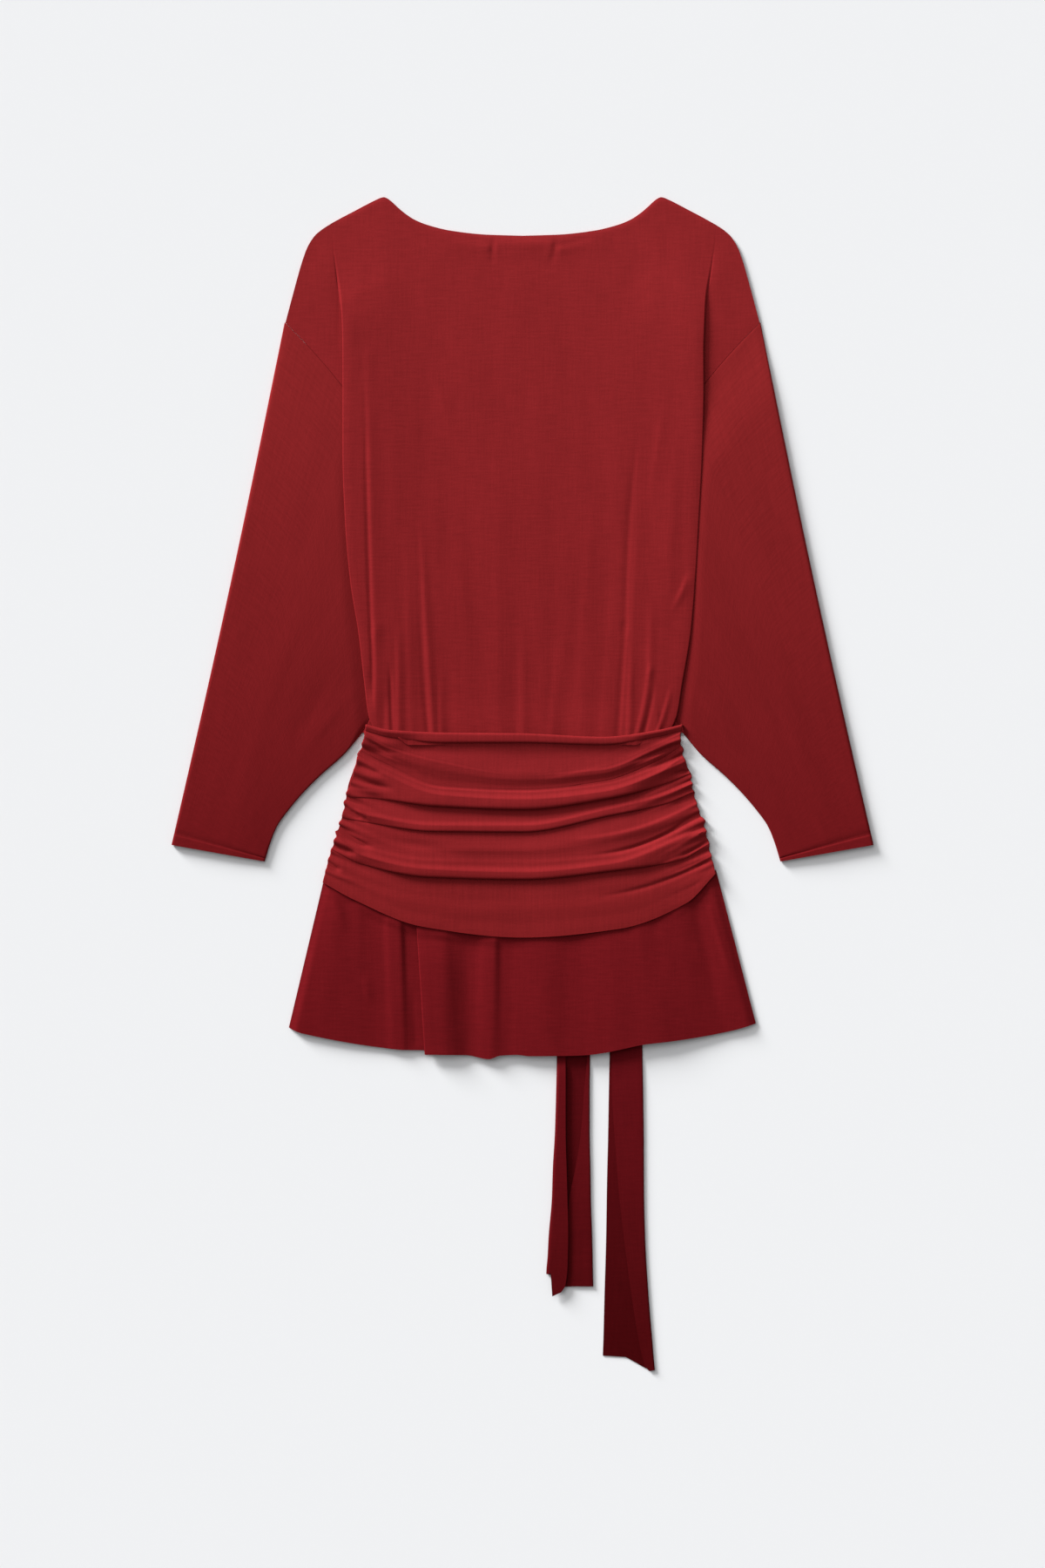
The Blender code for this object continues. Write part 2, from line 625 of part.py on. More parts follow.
def sleeve(side):
    """One piece, folded along its outer edge and seamed under the arm."""
    sign = -1.0 if side == "left" else 1.0
    rows = []
    for along in SLEEVE_ROWS:
        opened = ease(along / SLEEVE_OPENS_OVER)
        outer_radius = mix(INNER_TURN_RADIUS, SLEEVE_OUTER_RADIUS, opened)
        inner_radius = mix(INNER_TURN_RADIUS, SLEEVE_INNER_RADIUS, opened)
        start = sleeve_point(side, along, 0.0, True)
        end = sleeve_point(side, along, 1.0, True)
        width = math.dist(start, end)
        shares = [
            min(max(share, outer_radius / width), 1.0 - inner_radius / width) for share in BODICE_ROWS
        ]
        upper = []
        lower = []
        for share in shares:
            x, y = sleeve_point(side, along, share, True)
            edge_z = FRONT_LAYER + 2.0 * mix(outer_radius, inner_radius, share)
            loft = SLEEVE_LOFT * opened * math.sin(math.pi * share)
            upper.append((x, y, edge_z + loft))
            x, y = sleeve_point(side, along, share, False)
            lower.append((x, y, FRONT_LAYER))
        outer_turn = sleeve_turn(lower[0], upper[0], start)
        inner_turn = sleeve_turn(upper[-1], lower[-1], end)
        loop = upper + inner_turn + lower[::-1] + outer_turn
        rows.append([(sign * x, y, z) for x, y, z in loop])
    if side == "right":
        rows = [row[::-1] for row in rows]
    return cloth("sleeve_" + side, rows, BODICE_RED, tube=True)


def sleeve_turn(first, last, edge):
    """Three points round the bend between two layers, reaching out to the outline."""
    points = []
    for angle in (45.0, 90.0, 135.0):
        part = (1.0 - math.cos(math.radians(angle))) / 2.0
        out = math.sin(math.radians(angle))
        base_x = mix(first[0], last[0], part)
        base_y = mix(first[1], last[1], part)
        points.append((mix(base_x, edge[0], out), mix(base_y, edge[1], out), mix(first[2], last[2], part)))
    return points


def band_place(at, share):
    """x and y on the band, from the heights of a line along it and a share of the half width."""
    y = curve_through(BAND_SHARES, at, share)
    if share < 0.0:
        return share * column_of(BAND_SIDES, "y", "left", at[0]), y
    return share * column_of(BAND_SIDES, "y", "right", at[-1]), y


def band_bottom_y(x):
    at = BAND_FOLDS[-1].at
    side = "left" if x < 0.0 else "right"
    end_y = at[0] if x < 0.0 else at[-1]
    share = x / column_of(BAND_SIDES, "y", side, end_y)
    return curve_through(BAND_SHARES, at, share)


def band_loft(x, y):
    """Height of the back band's creases over the surface, lifted clear of what it lies on."""
    top = ease((y - BAND_TOP_FROM_Y) / BAND_TOP_FADE)
    corner = top * ease((abs(x) - BAND_CORNER_FROM) / BAND_CORNER_FADE)
    bottom = ease((band_bottom_y(x) + BAND_BOTTOM_HEIGHT - y) / BAND_BOTTOM_FADE)
    return BAND_LOFT + BAND_LOFT_TOP * top + BAND_LOFT_CORNER * corner + BAND_LOFT_BOTTOM * bottom


def fold_share(fold, part):
    """How far a fold has passed into the next one: crests are round and creases are sharp."""
    if fold.kind == "crest":
        return 1.0 - math.cos(math.pi / 2.0 * part)
    if fold.kind == "crease":
        return math.sin(math.pi / 2.0 * part)
    return ease(part)


def back_band():
    """Ruched lengthwise: one crest or crease for each row of the table, puckered at the seams."""
    rows = []
    for fold, following in zip(BAND_FOLDS, BAND_FOLDS[1:]):
        for step in range(ROWS_PER_BAND_FOLD):
            part = step / ROWS_PER_BAND_FOLD
            at = [mix(a, b, part) for a, b in zip(fold.at, following.at)]
            rise = [mix(a, b, fold_share(fold, part)) for a, b in zip(fold.rise, following.rise)]
            pucker = SIDE_PUCKERS[step] if rows else 0.0
            rows.append(band_row(at, rise, pucker))
    rows.append(band_row(BAND_FOLDS[-1].at, BAND_FOLDS[-1].rise, 0.0))
    return cloth("band_back", rows, BAND_RED)


def band_row(at, rise, pucker):
    row = []
    for share in BAND_COLUMNS:
        x, y = band_place(at, share)
        full_width = abs(band_place(at, math.copysign(1.0, share))[0])
        inwards = full_width - abs(x)
        bottom_y = BAND_FOLDS[-1].at[0 if share < 0.0 else -1]
        at_top = ease((y - BAND_CORNER_TOP_Y) / BAND_CORNER_TOP_FADE)
        at_bottom = ease((bottom_y + BAND_CORNER_BOTTOM_HEIGHT - y) / BAND_CORNER_BOTTOM_FADE)
        edge_z = mix(BACK_LAYER, BAND_CORNER_EDGE, max(at_top, at_bottom))
        height = band_loft(x, y) + curve_through(RISE_SHARES, rise, share)
        height += pucker * SIDE_PUCKER * math.exp(-inwards / SIDE_PUCKER_REACH)
        turned = math.sin(math.pi / 2.0 * min(inwards / BAND_SIDE_TURN, 1.0))
        scallop = pucker * SIDE_SCALLOP * math.exp(-inwards / SIDE_SCALLOP_REACH)
        row.append((x + math.copysign(scallop, x * scallop), y, mix(edge_z, height, turned)))
    return row


def front_band():
    rows = []
    bottom = BAND_FOLDS[-1].at
    for step in range(BAND_FRONT_ROWS + 1):
        at = [mix(BAND_FRONT_TOP_Y, low, step / BAND_FRONT_ROWS) for low in bottom]
        rows.append([(*band_place(at, share), FRONT_LAYER) for share in BAND_FRONT_COLUMNS])
    return cloth("band_front", rows, BAND_RED)


def flounce_top_y(x, reach, side_margin):
    """Upper edge of the flounce: well inside the band, less so from this reach outwards."""
    inside = 1.0 - ease((abs(x) - reach + MARGIN_FADE) / MARGIN_FADE)
    return band_bottom_y(x) + mix(side_margin, FLOUNCE_MARGIN, inside)


def flounce_front_z(x, y):
    climb = ease((y - band_bottom_y(x) + FRONT_CLIMB_BELOW) / FRONT_CLIMB_LENGTH)
    over_band = climb * (1.0 - ease((abs(x) - FRONT_CLIMB_REACH) / FRONT_CLIMB_FADE))
    room_left = ease((x - TIE_ROOM_LEFT + TIE_ROOM_SLOPE) / TIE_ROOM_SLOPE)
    room_right = ease((TIE_ROOM_RIGHT + TIE_ROOM_SLOPE - x) / TIE_ROOM_SLOPE)
    over_ties = room_left * room_right
    return FRONT_LAYER + mix(LAYER * over_band, TIE_ROOM_HEIGHT, over_ties)


def flounce_columns(waves, between=1):
    """The waves with softly rounded columns between them."""
    columns = []
    for wave, following in zip(waves, waves[1:]):
        for step in range(between + 1):
            part = step / (between + 1)
            places = [mix(wave[i], following[i], part) for i in range(2)]
            rises = [mix(wave[i], following[i], ease(part)) for i in (2, 3)]
            columns.append(Wave(*places, *rises))
    return columns + [waves[-1]]


def flounce_point(wave, share, left_width, right_width):
    x = mix(wave.band_x, wave.hem_x, share)
    top_y = flounce_top_y(wave.band_x, BACK_MARGIN_REACH, BACK_SIDE_MARGIN)
    y = mix(top_y, column_of(HEM, "across", "y", wave.hem_x), share)
    inwards = min(x + left_width, right_width - x)
    turned = math.sin(math.pi / 2.0 * min(inwards / FLOUNCE_SIDE_TURN, 1.0))
    under_band = mix(WAVES_START, 1.0, ease(share / WAVES_FULL_AT))
    rise = mix(wave.band_rise, wave.hem_rise, share) * under_band
    return (x, y, flounce_front_z(x, y) + LAYER + (FLOUNCE_LOFT + rise) * turned)


def back_flounce():
    left_waves = flounce_columns(WAVES_LEFT_OF_PLEAT)
    right_waves = flounce_columns(WAVES_RIGHT_OF_PLEAT)
    rows = []
    for share in FLOUNCE_ROWS:
        left_width = -mix(left_waves[0].band_x, left_waves[0].hem_x, share)
        right_width = mix(right_waves[-1].band_x, right_waves[-1].hem_x, share)
        left = [flounce_point(wave, share, left_width, right_width) for wave in left_waves]
        right = [flounce_point(wave, share, left_width, right_width) for wave in right_waves]
        edge = mix(PLEAT_EDGE_BAND_X, PLEAT_EDGE_HEM_X, share)
        depth = PLEAT_DEPTH * mix(0.5, 1.0, ease(share / WAVES_FULL_AT))
        low_z = left[-1][2]
        section = fold_section(edge, low_z, PLEAT_TURN, depth, PLEAT_PUFF)
        low_y = left[-1][1]
        high_y = right[0][1]
        pleat = [
            (x, mix(low_y, high_y, ease(i / (len(section) - 1))), z)
            for i, (x, z) in enumerate(section)
        ]
        lift = max(section[-1][1] - right[0][2], 0.0)
        lifted = []
        for x, y, z in right:
            away = min((x - right[0][0]) / PLEAT_FADE, 1.0)
            lifted.append((x, y, z + lift * (1.0 - away) ** 2))
        rows.append(left + pleat + lifted)
    return cloth("flounce_back", rows, FLOUNCE_RED)


def front_flounce():
    waves = WAVES_LEFT_OF_PLEAT[::2] + WAVES_RIGHT_OF_PLEAT
    rows = []
    for share in FLOUNCE_ROWS:
        row = []
        for wave in waves:
            x = mix(wave.band_x, wave.hem_x, share)
            top_y = flounce_top_y(wave.band_x, FRONT_MARGIN_REACH, FRONT_SIDE_MARGIN)
            y = mix(top_y, column_of(HEM, "across", "y", wave.hem_x), share)
            row.append((x, y, flounce_front_z(x, y)))
        rows.append(row)
    return cloth("flounce_front", rows, FLOUNCE_RED)


def tie_turn(edge, first_z, last_z, sign):
    """Points round a folded side of a tie, out to its edge, from one layer to the other."""
    radius = abs(last_z - first_z) / 2.0
    points = []
    for angle in (0.0, 60.0, 120.0, 180.0):
        out = math.sin(math.radians(angle))
        part = (1.0 - math.cos(math.radians(angle))) / 2.0
        points.append((edge - sign * radius * (1.0 - out), mix(first_z, last_z, part)))
    return points


def left_tie():
    """Folded in three lengthwise, with its left third on top and ending in a point."""
    rows = []
    top_z = BACK_LAYER + LAYER
    for point in LEFT_TIE:
        share = (point.y - LEFT_TIE[0].y) / (LEFT_TIE[-1].y - LEFT_TIE[0].y)
        lobe_z = mix(BACK_LAYER, top_z, ease((share - LOBE_CLIMBS_FROM) / LOBE_CLIMBS_OVER))
        right_turn = tie_turn(point.right, BACK_LAYER, FRONT_LAYER, 1.0)
        left_turn = tie_turn(point.left, FRONT_LAYER, lobe_z, -1.0)
        middle = (point.left + point.right) / 2.0
        section = [(point.right_lobe, BACK_LAYER)]
        section += right_turn + [(middle, FRONT_LAYER)] + left_turn + [(point.left_lobe, lobe_z)]
        rows.append([(x, point.y, z) for x, z in section])
    return finish_tie("tie_left", rows, LEFT_TIE_END)


def right_tie():
    """Folded lengthwise, with its right part over its left."""
    rows = []
    for point in RIGHT_TIE:
        right_turn = tie_turn(point.right, BACK_LAYER, FRONT_LAYER, 1.0)
        middle = mix(point.left, point.right, RIGHT_TIE_MIDDLE)
        section = [(point.right_lobe, BACK_LAYER)]
        section += right_turn + [(middle, FRONT_LAYER), (point.left, FRONT_LAYER)]
        rows.append([(x, point.y, z) for x, z in section])
    return finish_tie("tie_right", rows, RIGHT_TIE_END)


def finish_tie(name, rows, end):
    """Seats the top on the lower edge of the front band and cuts the loose end on the slant."""
    rows[0] = [(x, band_bottom_y(x) - WALL, z) for x, _, z in rows[0]]
    rows[-1] = [(x, y, z) for (x, _, z), y in zip(rows[-1], end)]
    return cloth(name, rows, TIE_RED)


def dress():
    clear_scene()
    front_bodice()
    sleeve("left")
    sleeve("right")
    back_bodice()
    front_band()
    front_flounce()
    left_tie()
    right_tie()
    back_flounce()
    back_band()


dress()
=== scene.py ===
"""Looks of the long-sleeved mini dress in dark red jersey, lying flat with its back upwards.

Metres, +Z up, +Y towards the neck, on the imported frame. Sizes in capitals and in the tables are
in millimetres, and turns in degrees, unless they say otherwise. "Left" and "right" are -X and +X.
"""

import math
from collections import namedtuple

import bpy
import numpy as np
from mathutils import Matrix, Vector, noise


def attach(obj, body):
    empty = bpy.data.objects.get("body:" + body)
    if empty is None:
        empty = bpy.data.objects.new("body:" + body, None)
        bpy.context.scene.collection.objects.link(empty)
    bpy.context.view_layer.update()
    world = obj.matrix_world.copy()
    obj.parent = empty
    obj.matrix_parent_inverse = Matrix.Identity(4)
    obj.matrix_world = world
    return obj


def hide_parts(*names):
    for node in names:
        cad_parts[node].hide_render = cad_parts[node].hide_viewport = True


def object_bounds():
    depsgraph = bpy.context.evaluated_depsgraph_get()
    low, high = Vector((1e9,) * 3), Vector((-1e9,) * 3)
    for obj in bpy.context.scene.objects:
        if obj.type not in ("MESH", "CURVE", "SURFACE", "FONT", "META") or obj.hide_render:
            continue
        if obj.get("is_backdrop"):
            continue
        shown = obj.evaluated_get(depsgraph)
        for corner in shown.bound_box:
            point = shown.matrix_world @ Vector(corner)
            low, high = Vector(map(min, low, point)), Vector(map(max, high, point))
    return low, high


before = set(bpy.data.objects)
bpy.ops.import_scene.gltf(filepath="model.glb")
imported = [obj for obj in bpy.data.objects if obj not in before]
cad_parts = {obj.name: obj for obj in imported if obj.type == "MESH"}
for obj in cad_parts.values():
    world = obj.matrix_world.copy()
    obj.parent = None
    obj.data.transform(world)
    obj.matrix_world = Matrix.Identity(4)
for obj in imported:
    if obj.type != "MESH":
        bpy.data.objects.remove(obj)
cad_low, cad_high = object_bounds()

MM = 0.001

# ------------------------------
# The camera looks straight down on the dress from a copy stand, far enough away that the long
# lens keeps both sleeves and the ties free of perspective.
FRAME_HEIGHT = 1530.0
LENS = 100.0
SENSOR = 36.0
CLIP_END = 30000.0

bpy.ops.object.select_all(action="DESELECT")
bpy.ops.object.camera_add(location=(0.0, 0.0, FRAME_HEIGHT * MM * LENS / SENSOR))
camera = bpy.context.object
camera.name = "copy_stand_camera"
camera.data.lens = LENS
camera.data.sensor_width = SENSOR
camera.data.clip_end = CLIP_END * MM
bpy.context.scene.camera = camera

# ------------------------------
# Front of the bodice: one panel of fine jersey that lies face down under the back, so only its
# neck edge and its underside show. It is sewn to the back at the shoulders, to the sleeves at the
# armholes and to the front band at the waist.
CLOTH_WALL = 0.9
CUT_EDGE_ANGLE = 60.0
JOIN_DISTANCE = 0.02
# How far the grain is shifted on a sheet's second face, which marks where painted shade goes.
SHADED_FACE_GRAIN_SHIFT = 10000.0
LAYER = 1.3
FRONT_LAYER = 0.5
BACK_LAYER = FRONT_LAYER + LAYER
SEAM_HALF_GAP = 0.24
SHOULDER_TIP_Y = 450.0
UNDERARM_Y = 50.0
BAND_FRONT_TOP_Y = 44.0

WAIST_LAP = 6.0
# Here and below, an OUT, RIGHT, UP or DOWN pair says where a change starts, that way from the middle
# or over the dress, and over what length it is made. An EDGE pair is measured up from the band's lower
# edge, and an ALONG pair in shares of the piece.
WAIST_LAP_OUT = (110.0, 20.0)
WAIST_CLIMB_DOWN = (BAND_FRONT_TOP_Y + 42.0, -36.0)
WAIST_CLIMB_OUT = (130.0, 6.0)


def table(columns, *rows):
    """A table of sizes, each row of which has these named columns."""
    row_of = namedtuple("Row", columns)
    return tuple(row_of(*row) for row in rows)


NECK = table(
    "across y",
    (0, 534.7), (35, 535.8), (70.5, 539.8), (94, 545.7), (106.5, 551), (118.5, 559.5),
    (128.5, 568.6), (132.3, 571.4), (135, 572.4),
)
SHOULDER = table(
    "across y",
    (135, 572.4), (137.6, 572), (141, 570.6), (163, 559.3), (190.5, 544.2), (202, 535.5),
    (209.5, 524.5), (214.5, 511.5), (223.5, 480), (231.5, 450),
)
FRONT_ARMHOLE = table(
    "y across",
    (450, 231.5), (422, 205), (392, 182), (355, 168), (300, 162), (200, 158), (100, 155), (50, 157),
)
FRONT_ROWS = 90
FRONT_COLUMN_STEP = 7.0

# The jersey is darker lower down, which is painted shade for the light falling off towards the hem: its
# colours at two heights along the dress. Pieces lower down are darker copies for the same painted shade.
DyeWithPaintedFalloff = namedtuple("DyeWithPaintedFalloff", "high_red low_red high_y low_y")
BODICE_DYE_AND_SHADE = DyeWithPaintedFalloff((0.237, 0.0170, 0.0190), (0.200, 0.0128, 0.0148), 540.0, 60.0)
# What shows in the knit: its size across and along the grain, how far it changes the tone of the
# dye, and how far it stands out.
Streak = namedtuple("Streak", "across along detail tone relief")
COURSES = Streak(18.0, 2.0, 2.0, 0.30, 0.5)
WALES = Streak(2.0, 30.0, 2.0, 0.20, 0.5)
CLOUDS = Streak(45.0, 110.0, 3.0, 0.20, 0.0)
HEATHER = Streak(1.6, 1.6, 1.0, 0.16, 0.3)
STREAK_ROUGHNESS = 0.6
KNIT_RELIEF = 0.4
KNIT_BUMP = 0.35
JERSEY_ROUGHNESS = 0.62
COURSE_ROUGHNESS = 0.12
SHEEN = 0.10
SHEEN_ROUGHNESS = 0.35
SHEEN_TINT = (1.0, 0.10, 0.11)


def ease(place, start=0.0, over=1.0):
    """0 to 1 with a level start and end, from one place over a length, which may run downwards."""
    share = np.clip((place - start) / over, 0.0, 1.0)
    return share * share * (3.0 - 2.0 * share)


def mix(first, second, share):
    return first + (second - first) * share


def curve_through(knots, values, at):
    """Heights of the smooth curve through these values, which never passes beyond them."""
    knots = np.asarray(knots, float)
    values = np.asarray(values, float)
    if knots[0] > knots[-1]:
        knots = knots[::-1]
        values = values[::-1]
    steps = np.diff(values) / np.diff(knots)
    before = np.concatenate((steps[:1], steps))
    after = np.concatenate((steps, steps[-1:]))
    both = before * after
    slopes = np.where(both > 0.0, 2.0 * both / np.where(both > 0.0, before + after, 1.0), 0.0)
    at = np.clip(at, knots[0], knots[-1])
    span = np.clip(np.searchsorted(knots, at, side="right") - 1, 0, len(knots) - 2)
    width = knots[span + 1] - knots[span]
    t = (at - knots[span]) / width
    return (
        (2 * t**3 - 3 * t**2 + 1) * values[span]
        + (t**3 - 2 * t**2 + t) * width * slopes[span]
        + (3 * t**2 - 2 * t**3) * values[span + 1]
        + (t**3 - t**2) * width * slopes[span + 1]
    )


def column_of(rows, key, column, at):
    """One named column of a table, read at values of its key column."""
    knots = [getattr(row, key) for row in rows]
    return curve_through(knots, [getattr(row, column) for row in rows], at)


def spread(places, step):
    """The places with others evenly between them, so that none are further apart than the step."""
    out = []
    for low, high in zip(places, places[1:]):
        count = max(1, math.ceil(abs(high - low) / step))
        out += [low + (high - low) * i / count for i in range(count)]
    return np.array(out + [places[-1]])


def top_edge_y(across):
    """Height of the neck and shoulder edge, at distances from the centre line."""
    across = np.abs(across)
    neck = column_of(NECK, "across", "y", across)
    return np.where(across <= NECK[-1].across, neck, column_of(SHOULDER, "across", "y", across))


def waist_rise(x, y):
    """How far the bodice climbs where it lies over the top edge of the front band."""
    return LAYER * ease(y, *WAIST_CLIMB_DOWN) * (1.0 - ease(np.abs(x), *WAIST_CLIMB_OUT))


def bodice_bottom_y(x):
    return mix(BAND_FRONT_TOP_Y - WAIST_LAP, UNDERARM_Y, ease(np.abs(x), *WAIST_LAP_OUT))


class Shade:
    """A socket of a material's nodes, reckoned with as a number that varies over the cloth."""

    def __init__(self, tree, socket=None):
        self.tree = tree
        self.socket = socket

    def made(self, kind, settings=None, sockets=None, out=0):
        """The output of a new node: settings first, and then its sockets are set or linked."""
        node = self.tree.nodes.new(kind)
        for name, value in (settings or {}).items():
            setattr(node, name, value)
        for place, value in (sockets or {}).items():
            if isinstance(value, Shade):
                self.tree.links.new(value.socket, node.inputs[place])
            else:
                node.inputs[place].default_value = value
        return Shade(self.tree, node.outputs[out]) if len(node.outputs) else None

    def maths(self, operation, first, second):
        return self.made("ShaderNodeMath", {"operation": operation}, {0: first, 1: second})

    def __add__(self, other):
        return self.maths("ADD", self, other)

    def __sub__(self, other):
        return self.maths("SUBTRACT", self, other)

    def __rsub__(self, other):
        return self.maths("SUBTRACT", other, self)

    def __mul__(self, other):
        return self.maths("MULTIPLY", self, other)

    __radd__ = __add__
    __rmul__ = __mul__


def jersey(name, dye_and_shade, courses=1.0, wales=1.0, shaded_second_face=1.0):
    """Fine matte jersey: faint courses across the knit and wales along it, dyed not quite evenly, and darker
    lower down as painted shade for the light falling off towards the hem.

    Courses and wales show this many times as strongly as on the bodice. Where the grain is shifted on,
    on a sheet's second face, the colour is this many times as bright: painted shade for the side of a tie
    that faces up in its under layers.
    """
    material = bpy.data.materials.new(name)
    material.use_nodes = True
    tree = material.node_tree
    tree.nodes.clear()
    start = Shade(tree)
    place = start.made("ShaderNodeTexCoord", out="Object")
    grain = start.made("ShaderNodeUVMap", {"uv_map": "grain"})

    def streaks(streak):
        scale = (1.0 / (streak.across * MM), 1.0 / (streak.along * MM), 1.0)
        stretched = start.made("ShaderNodeMapping", sockets={"Vector": grain, "Scale": scale})
        sockets = {"Vector": stretched, "Scale": 1.0, "Detail": streak.detail, "Roughness": STREAK_ROUGHNESS}
        return start.made("ShaderNodeTexNoise", sockets=sockets) - 0.5

    rows, ribs, clouds, heather = (streaks(streak) for streak in (COURSES, WALES, CLOUDS, HEATHER))
    tone = 1.0 + rows * (COURSES.tone * courses) + ribs * (WALES.tone * wales)
    tone = tone + clouds * CLOUDS.tone + heather * HEATHER.tone
    if shaded_second_face < 1.0:
        along = start.made("ShaderNodeSeparateXYZ", sockets={"Vector": grain}, out="Y")
        on_shaded_face = along.maths("GREATER_THAN", along, SHADED_FACE_GRAIN_SHIFT * MM / 2.0)
        tone = tone * (1.0 - on_shaded_face * (1.0 - shaded_second_face))
    height = start.made("ShaderNodeSeparateXYZ", sockets={"Vector": place}, out="Y")
    heights = {"Value": height, "From Min": dye_and_shade.low_y * MM, "From Max": dye_and_shade.high_y * MM}
    share = start.made("ShaderNodeMapRange", {"clamp": True}, heights)
    reds = {"Factor": share, "A": (*dye_and_shade.low_red, 1.0), "B": (*dye_and_shade.high_red, 1.0)}
    red = start.made("ShaderNodeMix", {"data_type": "RGBA"}, reds, out="Result")
    colour = start.made("ShaderNodeVectorMath", {"operation": "SCALE"}, {"Vector": red, "Scale": tone})
    knit = rows * COURSES.relief + ribs * WALES.relief + heather * HEATHER.relief
    relief = {"Height": knit, "Strength": KNIT_BUMP, "Distance": KNIT_RELIEF * MM}
    cloth_shader = start.made(
        "ShaderNodeBsdfPrincipled",
        sockets={
            "Base Color": colour,
            "Roughness": JERSEY_ROUGHNESS + rows * COURSE_ROUGHNESS,
            "Metallic": 0.0,
            "Specular IOR Level": 0.0,
            "Sheen Weight": SHEEN,
            "Sheen Roughness": SHEEN_ROUGHNESS,
            "Sheen Tint": (*SHEEN_TINT, 1.0),
            "Normal": start.made("ShaderNodeBump", sockets=relief),
        },
    )
    start.made("ShaderNodeOutputMaterial", sockets={"Surface": cloth_shader})
    return material


def cloth(name, points, material, grain=None, tube=False, shaded_second_face=False):
    """A sheet of jersey through a grid of points: a grid primitive, placed and given its wall.

    Its grain is the points' own x and y, unless it is given. A tube's last column is joined to its
    first. With its second face shaded, the grain of the sheet's second face is moved on, so that the
    material can paint shade on that face.
    """
    grain = points[..., :2] if grain is None else grain
    rows, columns = points.shape[:2]
    bpy.ops.object.select_all(action="DESELECT")
    bpy.ops.mesh.primitive_grid_add(x_subdivisions=columns - 1, y_subdivisions=rows - 1, size=1.0)
    piece = bpy.context.object
    piece.name = name
    piece.data.name = name
    piece.location = (0.0, 0.0, 0.0)
    piece.data.vertices.foreach_set("co", (points[::-1] * MM).astype(np.float32).ravel())
    corners = np.zeros(len(piece.data.loops), np.int32)
    piece.data.loops.foreach_get("vertex_index", corners)
    lengths = (grain[::-1].reshape(-1, 2) * MM).astype(np.float32)
    piece.data.uv_layers[0].name = "grain"
    piece.data.uv_layers[0].data.foreach_set("uv", lengths[corners].ravel())
    piece.data.update()
    if tube:
        bpy.ops.object.mode_set(mode="EDIT")
        bpy.ops.mesh.select_all(action="SELECT")
        bpy.ops.mesh.remove_doubles(threshold=JOIN_DISTANCE * MM)
        bpy.ops.object.mode_set(mode="OBJECT")
    piece.data.materials.clear()
    piece.data.materials.append(material)
    wall = piece.modifiers.new("wall", "SOLIDIFY")
    wall.thickness = CLOTH_WALL * MM
    wall.offset = 0.0
    wall.use_even_offset = False
    faces = len(piece.data.polygons)
    bpy.ops.object.modifier_apply(modifier="wall")
    if shaded_second_face:
        for face in piece.data.polygons[faces:2 * faces]:
            for corner in face.loop_indices:
                piece.data.uv_layers[0].data[corner].uv[1] += SHADED_FACE_GRAIN_SHIFT * MM
    bpy.ops.object.shade_smooth_by_angle(angle=math.radians(CUT_EDGE_ANGLE))
    return piece


def grid(*columns):
    """Columns of numbers of one shape, or that can be spread to one, stacked as points."""
    return np.stack(np.broadcast_arrays(*columns), axis=-1).astype(float)


def front_bodice_points():
    share = np.linspace(0.0, 1.0, FRONT_ROWS)[:, None]
    half = spread([point.across for point in NECK + SHOULDER[1:]], FRONT_COLUMN_STEP)
    top = np.concatenate((-half[:0:-1], half))[None, :]
    seam_y = mix(SHOULDER_TIP_Y, UNDERARM_Y, share)
    seam_x = column_of(FRONT_ARMHOLE, "y", "across", seam_y) - SEAM_HALF_GAP
    x = top * seam_x / SHOULDER[-1].across
    y = mix(top_edge_y(top), bodice_bottom_y(x), share)
    return grid(x, y, FRONT_LAYER + waist_rise(x, y))


bodice_jersey = jersey("bodice_jersey", BODICE_DYE_AND_SHADE)
bodice_front = cloth("bodice_front_panel", front_bodice_points(), bodice_jersey)
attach(bodice_front, "root")
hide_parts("bodice_front")

# ------------------------------
# Sleeves: each is one piece, folded along its outer edge and seamed under the arm, and set into
# the dropped armhole by an overlocked seam. The cuff is turned up and twin-needled.
CUFF_OUTER = (342.0, -59.5)
CUFF_INNER = (252.0, -75.5)
SLEEVE_OUTER_SAG = 2.4
SLEEVE_LENGTH = 530.0
SLEEVE_OPENS_OVER = 0.15
SLEEVE_OUTER_RADIUS = 1.95
SLEEVE_INNER_RADIUS = 1.4
INNER_TURN_RADIUS = 0.65
SLEEVE_LOFT = 0.9
# Shares of the sleeve's length at which its rows lie: by the armhole, down the sleeve and at the hem.
SLEEVE_FIRST_ROWS = (0.0, 0.002, 0.004, 0.0065, 0.009, 0.012, 0.016)
SLEEVE_ROWS_FROM = 0.021
SLEEVE_ROW_STEP = 0.0075
SLEEVE_ROWS_TO = 0.972
SLEEVE_HEM_FROM = 0.975
SLEEVE_HEM_ROWS = 22
SLEEVE_COLUMNS = 72
SLEEVE_TURN_STEPS = 6
UNDERARM = table(
    "across y",
    (157.2, 49.6), (174, 29.5), (198, 8), (213, -7), (228, -24.5), (240, -41.5), (246.5, -57.5),
    (252, -75.5),
)
BACK_ARMHOLE = table(
    "y across",
    (450, 231.5), (422, 204.5), (392, 179), (372, 164), (350, 152), (330, 145), (75, 144),
    (63, 149.5), (50, 156.5),
)
